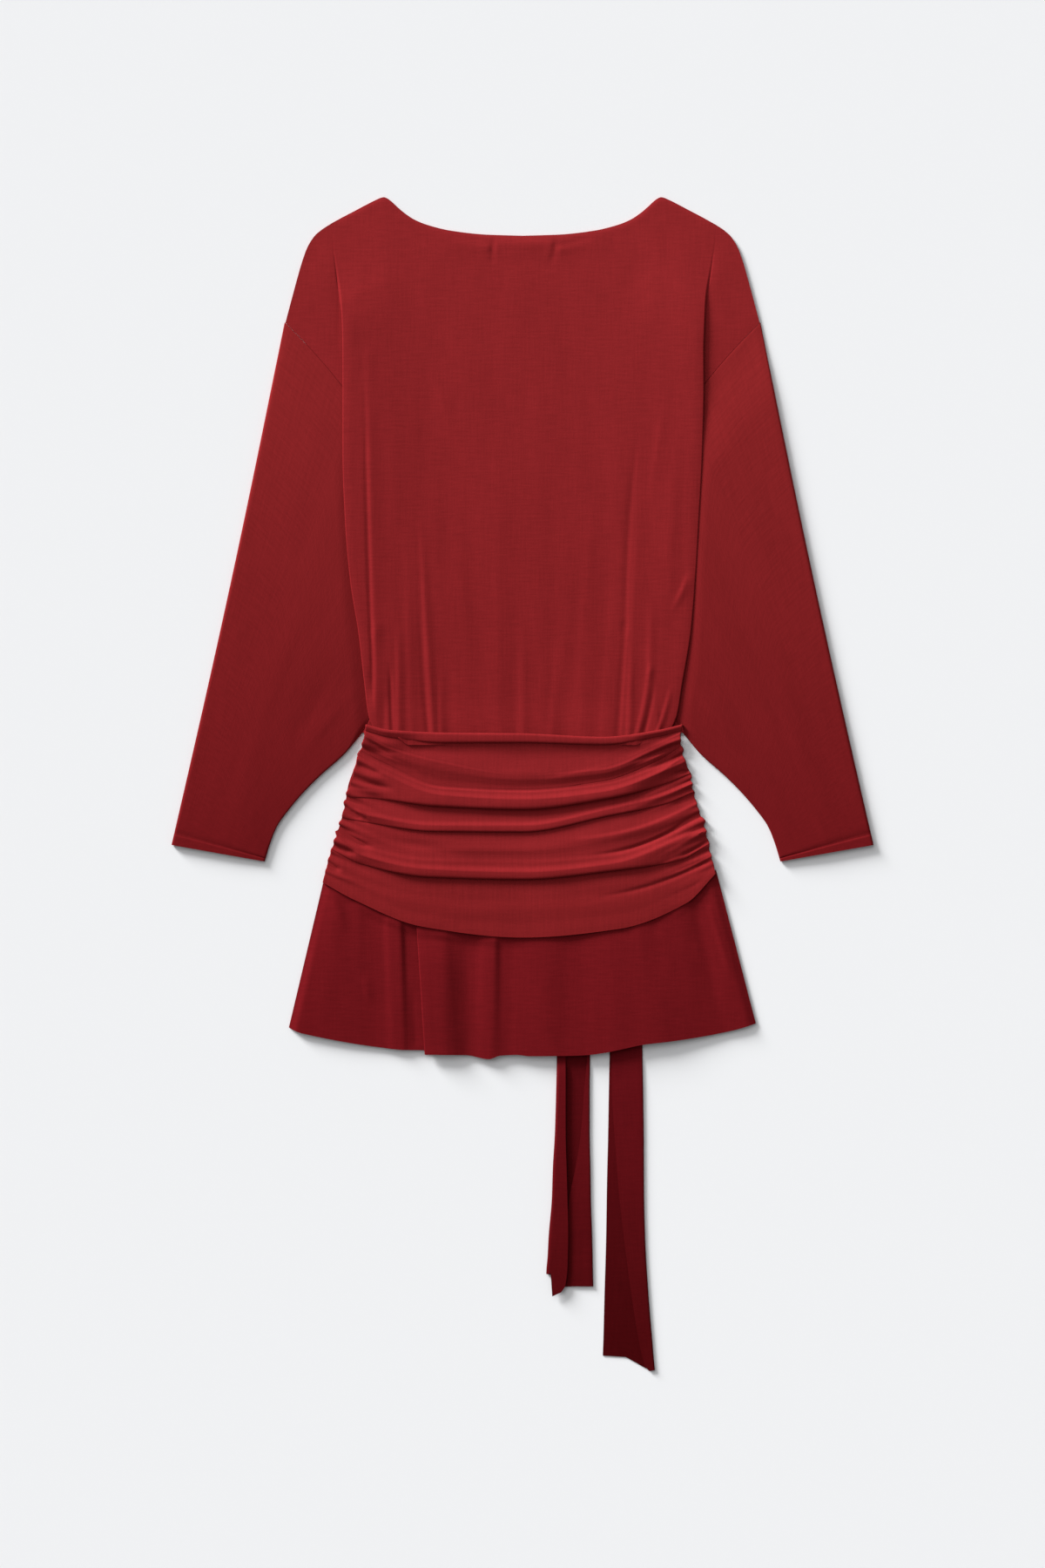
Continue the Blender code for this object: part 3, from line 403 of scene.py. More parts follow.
SIDE_FOLDS = table(
    "y left right turn depth puff",
    (550, 186, 189, 2, 0.8, 0.68), (523, 183.5, 186, 5, 0.8, 0.68),
    (500, 180.5, 182.5, 18, 0.9, 0.68), (481, 178, 179.5, 42, 1, 0.68),
    (464, 176.5, 178, 90, 1, 0.68), (445, 175.5, 177, 140, 2, 0.68),
    (420, 175, 176.3, 168, 5, 0.68), (393, 175, 176.5, 176, 12, 0.68),
    (323, 175, 175, 178, 18, 0.68), (255, 172.6, 171.5, 178, 17, 0.68),
    (197, 167.5, 168, 178, 14, 0.68), (150, 160, 164, 178, 11, 0.68),
    (95, 153.5, 155, 177, 8, 0.68), (68, 150, 150.5, 175, 5.5, 0.68), (50, 143, 143, 172, 4, 0.65),
)
OPEN_TURN_EXTRA = 2.5
FOLD_STEPS = 8
FOLD_BOTTOM_Y = 51.0
FOLD_TO_SEAM = 1.6

SEAM_DIP = 0.16
SEAM_DIP_WIDTH = 0.9
SEAM_RIDGE = 0.07
SEAM_RIDGE_AT = 4.0
SEAM_RIDGE_WIDTH = 2.5
CUFF_HEM = 11.0
CUFF_STITCH_GAP = 1.8
CUFF_STITCH_DEPTH = 0.5
CUFF_STITCH_WIDTH = 1.0

# Soft folds, each from one end to the other: how far it bows to the right of that way, how high it
# stands at its start, middle and end, and its widths to the left and right.
FOLD_COLUMNS = "x1 y1 x2 y2 bow start middle end left right"
SLEEVE_FOLDS = table(
    FOLD_COLUMNS,
    (208, 470, 205, 535, 0, 0, -0.5, -0.1, 3, 6),
    (-200, 460, -204, 535, 0, 0, -0.3, -0.1, 6, 4),
    (-236, 180, -186, 395, -6, 0, 0.3, 0.1, 14, 9),
    (240, 190, 190, 390, 6, 0, 0.3, 0.1, 9, 14),
    (-262, 40, -190, 200, -8, 0.3, 0.3, 0, 16, 9),
    (268, 40, 200, 210, 8, 0.3, 0.3, 0, 9, 16),
    (-214, 26, -160, 92, -3, 0, 0.5, 0.1, 7, 4),
    (214, 26, 160, 92, 3, 0, 0.5, 0.1, 4, 7),
    (-232, 14, -172, 126, -4, 0, -0.4, 0, 9, 6),
    (236, 16, 174, 130, 4, 0, -0.4, 0, 6, 9),
    (-300, -50, -240, 120, -4, -0.2, -0.3, 0, 14, 10),
    (306, -50, 250, 130, 4, -0.2, -0.3, 0, 10, 14),
)

# The sleeves' colours darken towards the cuffs: painted shade for the light falling off towards the hem.
SLEEVE_DYE_AND_SHADE = DyeWithPaintedFalloff((0.231, 0.0169, 0.0182), (0.142, 0.0080, 0.0099), 440.0, -60.0)


def soft_folds(folds, x, y):
    """How far these folds raise or sink each point of the cloth."""
    rise = np.zeros(np.broadcast(x, y).shape)
    for fold in folds:
        long_x, long_y = fold.x2 - fold.x1, fold.y2 - fold.y1
        length = math.hypot(long_x, long_y)
        along = ((x - fold.x1) * long_x + (y - fold.y1) * long_y) / length**2
        inside = np.clip(along, 0.0, 1.0)
        off = ((x - fold.x1) * long_y - (y - fold.y1) * long_x) / length
        off = off - fold.bow * np.sin(math.pi * inside)
        width = np.where(off < 0.0, fold.left, fold.right)
        beyond = (along - inside) * length / (fold.left + fold.right)
        first_half = mix(fold.start, fold.middle, ease(2.0 * inside))
        height = mix(first_half, fold.end, ease(2.0 * inside - 1.0))
        rise = rise + height * np.exp(-((off / width) ** 2) - beyond**2)
    return rise


def turn_radii(turn, puff):
    """Radii of the upper and lower bends of a fold: tight once it is closed, wide while it opens."""
    opened = OPEN_TURN_EXTRA * (1.0 - turn / 180.0) ** 3
    return puff + opened, INNER_TURN_RADIUS + opened


def fold_section(edge, low_z, turn, depth, puff):
    """Section of a fold whose edge points to -X, as (x, z) from its lower layer to its upper one."""
    angle = math.radians(turn)
    upper, lower = turn_radii(turn, puff)
    edge_reach = lower * math.sin(angle) + depth * math.cos(angle)
    if turn > 90.0:
        edge_reach += upper * (math.sin(angle) - 1.0)
    start_x = edge - edge_reach
    parts = [angle * step / FOLD_STEPS for step in range(FOLD_STEPS + 1)]
    low = [(start_x + lower * math.sin(part), low_z + lower * (1.0 - math.cos(part))) for part in parts]
    head_x = low[-1][0] + depth * math.cos(angle) + upper * math.sin(angle)
    head_z = low[-1][1] + depth * math.sin(angle) - upper * math.cos(angle)
    return low + [(head_x - upper * math.sin(part), head_z + upper * math.cos(part)) for part in parts[::-1]]


def side_fold(side, y):
    """(x, z) points of one side's fold at a height along the dress, lowest layer first."""
    edge, turn, depth, puff = (
        float(column_of(SIDE_FOLDS, "y", column, y)) for column in (side, "turn", "depth", "puff")
    )
    sign = -1.0 if side == "left" else 1.0
    return [(-sign * x, z) for x, z in fold_section(-edge, BACK_LAYER, turn, depth, puff)]


def back_armhole_x(side, y):
    """Distance of the back armhole seam from the centre line, outside the foot of the side fold."""
    seam = float(column_of(BACK_ARMHOLE, "y", "across", y))
    return max(seam, abs(side_fold(side, y)[0][0]) + FOLD_TO_SEAM)


def armhole(side, share, upper_layer):
    """The armhole seam as x and y, from the shoulder tip down, on the back or on the front."""
    y = mix(SHOULDER_TIP_Y, UNDERARM_Y, share)
    if upper_layer:
        return np.array([back_armhole_x(side, height) for height in y]) + SEAM_HALF_GAP, y
    return column_of(FRONT_ARMHOLE, "y", "across", y) + SEAM_HALF_GAP, y


def sleeve_rows(side, along, across, upper_layer):
    """x and y on a sleeve between its armhole, cuff, outer fold and underarm, row by row."""
    seam_x, seam_y = armhole(side, across, upper_layer)
    corner_x, corner_y = armhole(side, np.array([0.0, 1.0]), upper_layer)
    out_x = mix(corner_x[0], CUFF_OUTER[0], along) - SLEEVE_OUTER_SAG * math.sin(math.pi * along)
    out_y = mix(corner_y[0], CUFF_OUTER[1], along)
    in_y = mix(UNDERARM[0].y, UNDERARM[-1].y, along)
    in_x = float(column_of(UNDERARM, "y", "across", in_y))
    cuff_x = mix(CUFF_OUTER[0], CUFF_INNER[0], across)
    cuff_y = mix(CUFF_OUTER[1], CUFF_INNER[1], across)
    x = mix(out_x, in_x, across) + mix(seam_x, cuff_x, along)
    y = mix(out_y, in_y, across) + mix(seam_y, cuff_y, along)
    x = x - mix(mix(corner_x[0], corner_x[1], across), cuff_x, along)
    y = y - mix(mix(corner_y[0], corner_y[1], across), cuff_y, along)
    return x, y


def layer_turn(first, last, edge, steps):
    """Points round the bend between two layers, reaching out to the outline."""
    angle = np.linspace(0.0, math.pi, steps + 2)[1:-1, None]
    base = mix(first, last, (1.0 - np.cos(angle)) / 2.0)
    out = np.sin(angle)
    base[:, :2] = mix(base[:, :2], edge[:2], out)
    return base


def sleeve_points(side):
    sign = -1.0 if side == "left" else 1.0
    down_rows = np.arange(SLEEVE_ROWS_FROM, SLEEVE_ROWS_TO, SLEEVE_ROW_STEP)
    hem_rows = np.linspace(SLEEVE_HEM_FROM, 1.0, SLEEVE_HEM_ROWS)
    across = np.linspace(0.0, 1.0, SLEEVE_COLUMNS)
    ends = np.array([0.0, 1.0])
    inwards = np.sqrt(np.sin(math.pi * across).clip(0.0))
    rows = []
    for along in np.concatenate((SLEEVE_FIRST_ROWS, down_rows, hem_rows)):
        opened = float(ease(along, 0.0, SLEEVE_OPENS_OVER))
        outer_radius = mix(INNER_TURN_RADIUS, SLEEVE_OUTER_RADIUS, opened)
        inner_radius = mix(INNER_TURN_RADIUS, SLEEVE_INNER_RADIUS, opened)
        x, y = sleeve_rows(side, along, ends, True)
        edges = grid(x, y, 0.0)
        width = math.dist(edges[0][:2], edges[1][:2])
        share = np.clip(across, outer_radius / width, 1.0 - inner_radius / width)
        x, y = sleeve_rows(side, along, share, True)
        z = FRONT_LAYER + 2.0 * mix(outer_radius, inner_radius, share)
        z = z + SLEEVE_LOFT * opened * np.sin(math.pi * share)
        z = z + opened * inwards * soft_folds(SLEEVE_FOLDS, sign * x, y)
        from_seam = along * SLEEVE_LENGTH
        z = z - SEAM_DIP * math.exp(-((from_seam / SEAM_DIP_WIDTH) ** 2))
        ridge = math.exp(-(((from_seam - SEAM_RIDGE_AT) / SEAM_RIDGE_WIDTH) ** 2))
        z = z + SEAM_RIDGE * ridge * inwards
        to_cuff = (1.0 - along) * SLEEVE_LENGTH
        for stitch in (CUFF_HEM, CUFF_HEM + CUFF_STITCH_GAP):
            z = z - CUFF_STITCH_DEPTH * math.exp(-(((to_cuff - stitch) / CUFF_STITCH_WIDTH) ** 2))
        upper = grid(x, y, z)
        x, y = sleeve_rows(side, along, share, False)
        lower = grid(x, y, FRONT_LAYER)
        outer = layer_turn(lower[0], upper[0], edges[0], SLEEVE_TURN_STEPS)
        inner = layer_turn(upper[-1], lower[-1], edges[1], SLEEVE_TURN_STEPS)
        loop = np.concatenate((upper, inner, lower[::-1], outer, upper[:1]))
        loop[:, 0] *= sign
        rows.append(loop)
    points = np.array(rows)
    return points if side == "left" else points[:, ::-1]


def sleeve_grain(points):
    """How far along the knit each point lies: round the tube from its fold, and down its length."""
    steps = np.linalg.norm(np.diff(points, axis=1), axis=-1).mean(axis=0)
    around = np.concatenate(([0.0], np.cumsum(steps)))
    down = np.linalg.norm(np.diff(points, axis=0), axis=-1).mean(axis=1)
    return grid(around[None, :], -np.concatenate(([0.0], np.cumsum(down)))[:, None])


sleeve_jersey = jersey("sleeve_jersey", SLEEVE_DYE_AND_SHADE)
for side in ("left", "right"):
    points = sleeve_points(side)
    sleeve = cloth("sleeve_" + side + "_cloth", points, sleeve_jersey, sleeve_grain(points), tube=True)
    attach(sleeve, "root")
    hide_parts("sleeve_" + side)

# ------------------------------
# Back of the bodice: cut far wider than the waist, so that a lengthwise fold at each side laps
# over the sleeve, and gathered onto the band. The neck edge is turned in. A label tacked inside
# the neck leaves two small puckers.
BACK_COLUMNS = table(
    "top waist",
    (0, 0), (28, 33), (56, 64), (86, 87), (113, 103), (135, 118), (158, 129), (177, 138),
)
LOWER_COLUMNS_TOP = (231.5, 230.6, 229.4, 223.5, 214.5, 204.0, 197.0)
LOWER_COLUMNS_BY_FOLD = (4.5, 2.8, 1.3)
LOWER_COLUMN_STEP = 3.0
BACK_COLUMN_STEP = 2.4
BACK_FIRST_ROWS = (0.0, 0.0015, 0.004)
BACK_ROWS_FROM = 0.008
BACK_ROWS = 165
BACK_PUFF = 0.7
BACK_EDGE_FADE = 60.0
BACK_FOLD_FADE = 100.0
OUTER_SWELL = 0.7
OUTER_SWELL_REACH = 9.0
OUTER_SWELL_UP = (414.0, 26.0)
OUTER_SWELL_DOWN = (536.0, -44.0)
OUTER_SWELL_SEAM_FADE = 12.0
BACK_RIDGE = 0.035
BACK_RIDGE_ALONG = (0.02, 0.12)
PUCKERS_FROM_EDGE = 9.0
PUCKERS_OUT = (90.0, 40.0)
BACK_FOLDS = table(
    FOLD_COLUMNS,
    (-149.5, 56, -148, 150, 2, -0.9, -1, -0.9, 1.5, 1.7),
    (-148, 150, -153.5, 400, -1, -0.9, -0.9, 0, 1.5, 1.8),
    (-145, 56, -144, 150, 2, 0.6, 0.7, 0.7, 2, 7),
    (-144, 150, -151, 415, -1, 0.7, 0.8, 0.3, 2, 8),
    (-126.5, 44, -129.5, 122, 0, -1.7, -1.3, 0, 1.8, 1.4),
    (-120.5, 44, -121.5, 165, 0, 1.1, 0.9, 0, 2.2, 5),
    (-108, 44, -113.5, 250, 0, 0.4, 0.35, 0, 3, 5),
    (-92, 50, -101, 200, -1, -0.8, -0.5, 0, 3, 1.8),
    (-87.5, 50, -100.5, 285, -1, 1, 0.9, 0, 1.5, 5),
    (-79.5, 44, -80, 112, 0, 0.8, 0.5, 0, 1.5, 4),
    (-69, 44, -74, 190, 0, -0.4, -0.2, 0, 5, 5),
    (-52, 44, -60, 230, 2, 0.35, 0.3, 0, 5, 8),
    (-33, 44, -40, 180, 0, -0.35, -0.2, 0, 6, 6),
    (-20, 44, -24, 280, -2, 0.35, 0.3, 0, 4, 7),
    (-7, 44, -8, 200, 0, -0.45, -0.25, 0, 4, 3),
    (0.5, 44, 0, 175, 0, 0.7, 0.5, 0, 2.2, 5),
    (14, 44, 15, 150, 0, -0.3, -0.2, 0, 5, 5),
    (27, 44, 38, 150, 0, 0.55, 0.4, 0, 2.5, 6),
    (42, 44, 54, 210, 0, -0.35, -0.2, 0, 7, 5),
    (57, 44, 74, 320, -4, 0.4, 0.35, 0, 4, 9),
    (78, 44, 92, 230, 0, 0.35, 0.3, 0, 4, 6),
    (93.5, 44, 100.5, 152, 0, -1, -0.9, -0.7, 4, 1.6),
    (100.5, 152, 115, 360, -3, -0.7, -0.6, 0, 4, 1.8),
    (103, 44, 106, 140, 0, 1, 0.7, 0, 2, 4),
    (106, 60, 118, 330, -3, 0.4, 0.4, 0, 2.5, 8),
    (111, 46, 123.5, 110, 1.5, 1.1, 1, 0.8, 1.6, 4),
    (123.5, 110, 125, 185, 0, 0.8, 0.5, 0, 2, 5),
    (118.5, 50, 129, 104, 1.5, -0.9, -0.7, 0, 3, 2),
    (131.5, 50, 146, 100, 1, 1.2, 0.9, 0, 1.6, 3.5),
    (143, 165, 165, 213, 1.5, 0, 0.9, 0.3, 1.6, 4.5),
    (140, 100, 158, 400, -4, 0, 0.4, 0, 8, 6),
    (123, 265, 138, 380, 0, 0, 0.35, 0, 2.5, 7),
    (-66, 330, -96, 415, 3, 0, 0.3, 0, 3, 8),
    (86, 190, 106, 430, 0, 0, 0.3, 0, 10, 14),
    (-118, 190, -132, 430, 0, 0, 0.3, 0, 8, 14),
    (-66, 533.5, -29, 527, -0.6, 0, -0.7, -1.1, 1.3, 1.3),
    (-66, 530, -34, 524, -0.6, 0, 0.2, 0.4, 1.2, 3),
    (-30, 513.5, -29, 530, -1, -0.7, -1, -0.7, 0.9, 3.5),
    (-25.5, 516, -25, 525, 0, 0.1, 0.3, 0.1, 1.5, 2.5),
    (33, 525.5, 72, 534.5, 1, -1.1, -0.8, 0, 1.4, 1.4),
    (36, 522, 70, 530.5, 1, 0.4, 0.2, 0, 1.2, 3),
    (28.5, 514, 31, 527.5, 0.6, -0.7, -1, -0.7, 0.9, 3.5),
    (25, 516, 26.5, 524, 0, 0.1, 0.2, 0.1, 2.4, 1.4),
    (-60, 525, 62, 526, 0, 0.4, 1, 0.4, 9, 11),
    (-22, 521.5, 24, 521, 0, -0.3, -0.2, -0.3, 2, 3),
)
# Broad uneven swells of the cloth.
Waver = namedtuple("Waver", "height width length seed")
BACK_WAVER = Waver(0.42, 15.0, 120.0, 1.5)
BACK_WAVER_UP = (120.0, 330.0)
BACK_WAVER_LEAST = 0.35
BACK_BROAD_WAVER = Waver(0.35, 60.0, 90.0, 7.5)
BACK_WAVER_SIDE_FADE = 12.0
NECK_HEM_DIP = 0.5
NECK_HEM_WIDTH = 2.0


def waver(sort, x, y):
    """How far the cloth wavers up and down at each point."""
    flat_x, flat_y = np.broadcast_arrays(x, y)
    places = zip(flat_x.ravel() / sort.width, flat_y.ravel() / sort.length)
    swing = np.array([noise.noise((a, b, sort.seed)) for a, b in places])
    return sort.height * swing.reshape(flat_x.shape)


def fold_row(side, share):
    """One side's fold and the cloth under it, from the armhole seam inwards, at a row of the back."""
    sign = -1.0 if side == "left" else 1.0
    fold_top_y = float(top_edge_y(getattr(SIDE_FOLDS[0], side)))
    section = side_fold(side, mix(fold_top_y, FOLD_BOTTOM_Y, share))
    section_top = side_fold(side, fold_top_y)
    seam_x = back_armhole_x(side, mix(SHOULDER_TIP_Y, UNDERARM_Y, share)) - SEAM_HALF_GAP
    foot = abs(section[0][0])
    foot_top = abs(section_top[0][0])
    ridge = BACK_RIDGE * (1.0 - ease(share, *BACK_RIDGE_ALONG))
    points = []
    by_fold = [foot_top + gap for gap in LOWER_COLUMNS_BY_FOLD]
    tops = spread([*LOWER_COLUMNS_TOP, *by_fold], LOWER_COLUMN_STEP)
    for top in tops:
        part = (tops[0] - top) / (tops[0] - foot_top)
        x = mix(seam_x, foot, part)
        y = mix(float(top_edge_y(top)), mix(UNDERARM_Y, FOLD_BOTTOM_Y, part), share)
        off = seam_x - x
        z = BACK_LAYER - SEAM_DIP * math.exp(-((off / SEAM_DIP_WIDTH) ** 2))
        z += ridge * math.exp(-(((off - SEAM_RIDGE_AT) / SEAM_RIDGE_WIDTH) ** 2))
        swell = OUTER_SWELL * ease(y, *OUTER_SWELL_UP) * ease(y, *OUTER_SWELL_DOWN)
        reach = max(x - float(column_of(SIDE_FOLDS, "y", side, y)), 0.0) / OUTER_SWELL_REACH
        z += swell * reach * math.exp(1.0 - reach) * ease(off / OUTER_SWELL_SEAM_FADE)
        points.append((sign * x, y, z))
    for (top_x, _), (x, z) in zip(section_top, section):
        points.append((x, mix(float(top_edge_y(abs(top_x))), FOLD_BOTTOM_Y, share), z))
    return points


def back_bodice_points():
    sides = ("left", "right")
    tops = spread([column.top for column in BACK_COLUMNS], BACK_COLUMN_STEP)
    waists = column_of(BACK_COLUMNS, "top", "waist", tops)
    ends = {side: [abs(fold_row(side, share)[-1][0]) for share in (0.0, 1.0)] for side in sides}
    rows = []
    for share in np.concatenate((BACK_FIRST_ROWS, np.linspace(BACK_ROWS_FROM, 1.0, BACK_ROWS))):
        folds = {side: fold_row(side, share) for side in sides}
        halves = {}
        for side in sides:
            part = mix(tops / ends[side][0], waists / ends[side][1], share)
            x = part * folds[side][-1][0]
            halves[side] = (x, mix(top_edge_y(tops), bodice_bottom_y(x), share))
        x = np.concatenate((halves["left"][0][:0:-1], halves["right"][0]))
        y = np.concatenate((halves["left"][1][:0:-1], halves["right"][1]))
        from_edge = top_edge_y(x) - y
        edge_share = ease(from_edge / BACK_EDGE_FADE)
        by_label = 1.0 - ease(np.abs(x), *PUCKERS_OUT)
        neck_share = np.maximum(edge_share, ease(from_edge / PUCKERS_FROM_EDGE) * by_label)
        ground = BACK_LAYER + waist_rise(x, y)
        swell = waver(BACK_WAVER, x, y) * mix(BACK_WAVER_LEAST, 1.0, 1.0 - ease(y, *BACK_WAVER_UP))
        swell = swell + waver(BACK_BROAD_WAVER, x, y)
        for inwards in (x - x[0], x[-1] - x):
            swell = swell * ease(inwards / BACK_WAVER_SIDE_FADE)
        z = ground + edge_share * (BACK_PUFF + swell) + neck_share * soft_folds(BACK_FOLDS, x, y)
        z = np.maximum(z, ground)
        for side in sides:
            end_x, _, end_z = folds[side][-1]
            away = np.minimum(np.abs(x - end_x) / BACK_FOLD_FADE, 1.0)
            z = z + (end_z - BACK_LAYER - BACK_PUFF * edge_share) * (1.0 - ease(away))
        z = z - NECK_HEM_DIP * np.exp(-((from_edge / NECK_HEM_WIDTH) ** 2)) * (1.0 - edge_share)
        middle = grid(x, y, z)
        rows.append(np.concatenate((folds["left"], middle, folds["right"][::-1])))
    return np.array(rows)


bodice_back = cloth("bodice_back_panel", back_bodice_points(), bodice_jersey)
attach(bodice_back, "root")
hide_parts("bodice_back")

# ------------------------------
# Front of the waist band: the same height as the back, lying smooth on the table, with its top
# edge under the bodice. The flounce is sewn under its lower edge.
BAND_SIDES = table(
    "y left right",
    (58, 152.6, 156), (46, 154, 153.8), (23, 161.5, 157.5), (12, 165.5, 163), (-1, 170, 165),
    (-22, 173.5, 170.5), (-42, 179, 177.5), (-58, 184, 181), (-72, 188.7, 184), (-88, 192.5, 188),
    (-97, 194.8, 188),
)
BAND_SHARES = (-1.0, -0.85, -0.5, 0.0, 0.5, 0.85, 1.0)
BAND_BOTTOM = (-96.1, -112.2, -139.0, -149.6, -141.1, -116.0, -87.6)
BAND_FRONT_ROWS = 40
BAND_FRONT_COLUMNS = 71

# The band's colours darken towards its lower edge: painted shade for the light falling off towards the hem.
BAND_DYE_AND_SHADE = DyeWithPaintedFalloff((0.208, 0.0139, 0.0160), (0.178, 0.0116, 0.0132), -60.0, -118.0)


def band_place(at, share):
    """x and y on the band, from the heights of a line along it and shares of the half width."""
    y = curve_through(BAND_SHARES, at, share)
    left = float(column_of(BAND_SIDES, "y", "left", at[0]))
    right = float(column_of(BAND_SIDES, "y", "right", at[-1]))
    return np.where(share < 0.0, share * left, share * right), y


def band_bottom_y(x):
    left = float(column_of(BAND_SIDES, "y", "left", BAND_BOTTOM[0]))
    right = float(column_of(BAND_SIDES, "y", "right", BAND_BOTTOM[-1]))
    return curve_through(BAND_SHARES, BAND_BOTTOM, np.where(x < 0.0, x / left, x / right))


def front_band_points():
    share = np.linspace(-1.0, 1.0, BAND_FRONT_COLUMNS)
    rows = []
    for step in np.linspace(0.0, 1.0, BAND_FRONT_ROWS):
        at = [mix(BAND_FRONT_TOP_Y, low, step) for low in BAND_BOTTOM]
        rows.append(grid(*band_place(at, share), FRONT_LAYER))
    return np.array(rows)


band_jersey = jersey("band_jersey", BAND_DYE_AND_SHADE, courses=0.5, wales=1.5)
band_front = cloth("band_front_panel", front_band_points(), band_jersey)
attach(band_front, "root")
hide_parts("band_front")

# ------------------------------
# Back of the waist band: a panel about half as long again as its finished height, ruched into
# both side seams so that it lies in deep folds. Its top edge rolls over the bodice, and its lower
# edge hangs free over the flounce.
RISE_SHARES = (-1.0, -0.5, 0.0, 0.5, 1.0)
NO_LIP = (0, 0, 0, 0, 0)
# The lines along which the band folds, from the top down: what each is, its heights along the
# dress at BAND_SHARES, and at RISE_SHARES how high it stands and how far it overhangs.
BAND_LINES = table(
    "kind at rise lip",
    ("edge", (57.8, 52.4, 49.7, 48.9, 45.6, 52.3, 57.8), (-0.3, -0.3, -0.3, -0.3, -0.3), NO_LIP),
    ("crest", (55.6, 50, 47.2, 46.6, 43.2, 50, 55.8), (1, 1.6, 1.8, 1.6, 1), NO_LIP),
    ("crease", (52, 45.9, 40.4, 40.6, 38.6, 46.3, 52), (-1.6, -1.4, -1.2, -1.1, -1.6), NO_LIP),
    ("ridge", (46.8, 34.8, 20.1, 8.5, 13.5, 33.8, 44), (0.8, 0.6, 0.7, 1, 1.8), (1, 0.6, 0, 0.8, 1.8)),
    ("crease", (32.3, 20, -2.2, -5.7, 2.2, 22.2, 37), (-2.4, -2, -1.8, -1.8, -1.8), NO_LIP),
    ("crest", (24.4, 11.2, -10.6, -15, -7.8, 11, 26.9), (0.8, 2, 2.4, 2.4, 2), (1.8, 2.6, 3, 3, 2.2)),
    ("crease", (-12.8, -14, -21.4, -24.6, -14.2, 0.2, 10), (-3.4, -3.6, -3.9, -3.8, -3.2), NO_LIP),
    ("crest", (-22.5, -31, -40.4, -40.6, -24.9, -10.4, 0.3),
     (-0.2, -0.4, -0.6, -1, 0), (1.8, 2.2, 2.4, 1.9, 1.8)),
    ("crease", (-33, -37.6, -45.9, -46.6, -31, -18.6, -7.8), (-3.4, -3.7, -4, -4, -3.2), NO_LIP),
    ("plain", (-40.5, -51, -62, -63, -50, -34, -22), (-2.8, -3.2, -3.6, -3.4, -2.6), NO_LIP),
    ("plain", (-44.5, -59, -70.5, -71.5, -66.5, -45, -32), (-3.2, -4, -4.5, -4.4, -3), NO_LIP),
    ("crest", (-51.5, -70, -83, -85.7, -77.4, -54.4, -42), (0, -0.4, -0.7, -0.5, 0.3), (2, 2.7, 3, 2.8, 2.2)),
    ("crease", (-63.8, -77.5, -90.4, -92.8, -84, -74.4, -58.7), (-4, -4.9, -5.3, -5, -3.6), NO_LIP),
    ("plain", (-72, -88, -104.5, -108, -98, -86, -68), (-3.4, -4.3, -4.8, -4.4, -3), NO_LIP),
    ("plain", (-84, -100, -122, -130, -120, -101, -78), (-2.4, -3, -3.4, -3, -2), NO_LIP),
    ("edge", BAND_BOTTOM, (-1.2, -1.9, -2.4, -2.1, -1.2), NO_LIP),
)
LIP_LEAST_WIDTH = 2.4
LIP_WIDTH = 1.4
LIP_SHARE = 0.72
BAND_ROW_STEP = 1.15
BAND_COLUMN_STEP = 0.0145
BAND_FIRST_SHARES = (0.0, 0.0012, 0.0026)
BAND_SIDE_STEP = 0.006
BAND_SIDE_REGION = 0.16
TUCK_SHARE = 0.22
SIDE_SLACK = 0.7
SIDE_SLACK_ALONG = (0.6, 0.25)
CREST_WAVER = Waver(0.5, 45.0, 1.0, 9.5)
CREST_WAVERS_APART = 40.0

# How a line passes into the next one: part of the way, part of the distance, part of the height.
PASSAGE_COLUMNS = "part distance height"
ROLL = table(
    PASSAGE_COLUMNS,
    (0, 0, 0), (0.2, 0.02, 0.32), (0.5, 0.2, 0.74), (0.8, 0.6, 0.97), (1, 1, 1),
)
DROP = table(
    PASSAGE_COLUMNS,
    (0, 0, 0), (0.2, 0.32, 0.01), (0.4, 0.62, 0.05), (0.55, 0.8, 0.11), (0.68, 0.92, 0.22),
    (0.8, 0.98, 0.42), (0.91, 1, 0.7), (1, 1, 1),
)
SWELL = table(
    PASSAGE_COLUMNS,
    (0, 0, 0), (0.25, 0.25, 0.04), (0.5, 0.5, 0.22), (0.75, 0.75, 0.6), (1, 1, 1),
)
LIP = table(
    PASSAGE_COLUMNS,
    (0, 0, 0), (0.25, 0.25, 0.12), (0.5, 0.5, 0.5), (0.75, 0.75, 0.86), (1, 1, 1),
)
TUCKED = table(PASSAGE_COLUMNS, (0, 0, 0), (0.7, 0, 0), (0.88, 0.25, 0), (1, 1, 0))
CLIMB = table(
    PASSAGE_COLUMNS,
    (0, 0, 0), (0.25, 0.25, 0.08), (0.5, 0.5, 0.28), (0.75, 0.75, 0.62), (1, 1, 1),
)
PASSAGES = {"edge": ROLL, "crest": DROP, "ridge": LIP, "crease": SWELL, "foot": CLIMB, "plain": LIP}
LEAST_STEPS = {"edge": 5, "crest": 12, "ridge": 8, "crease": 7, "foot": 5, "plain": 6}

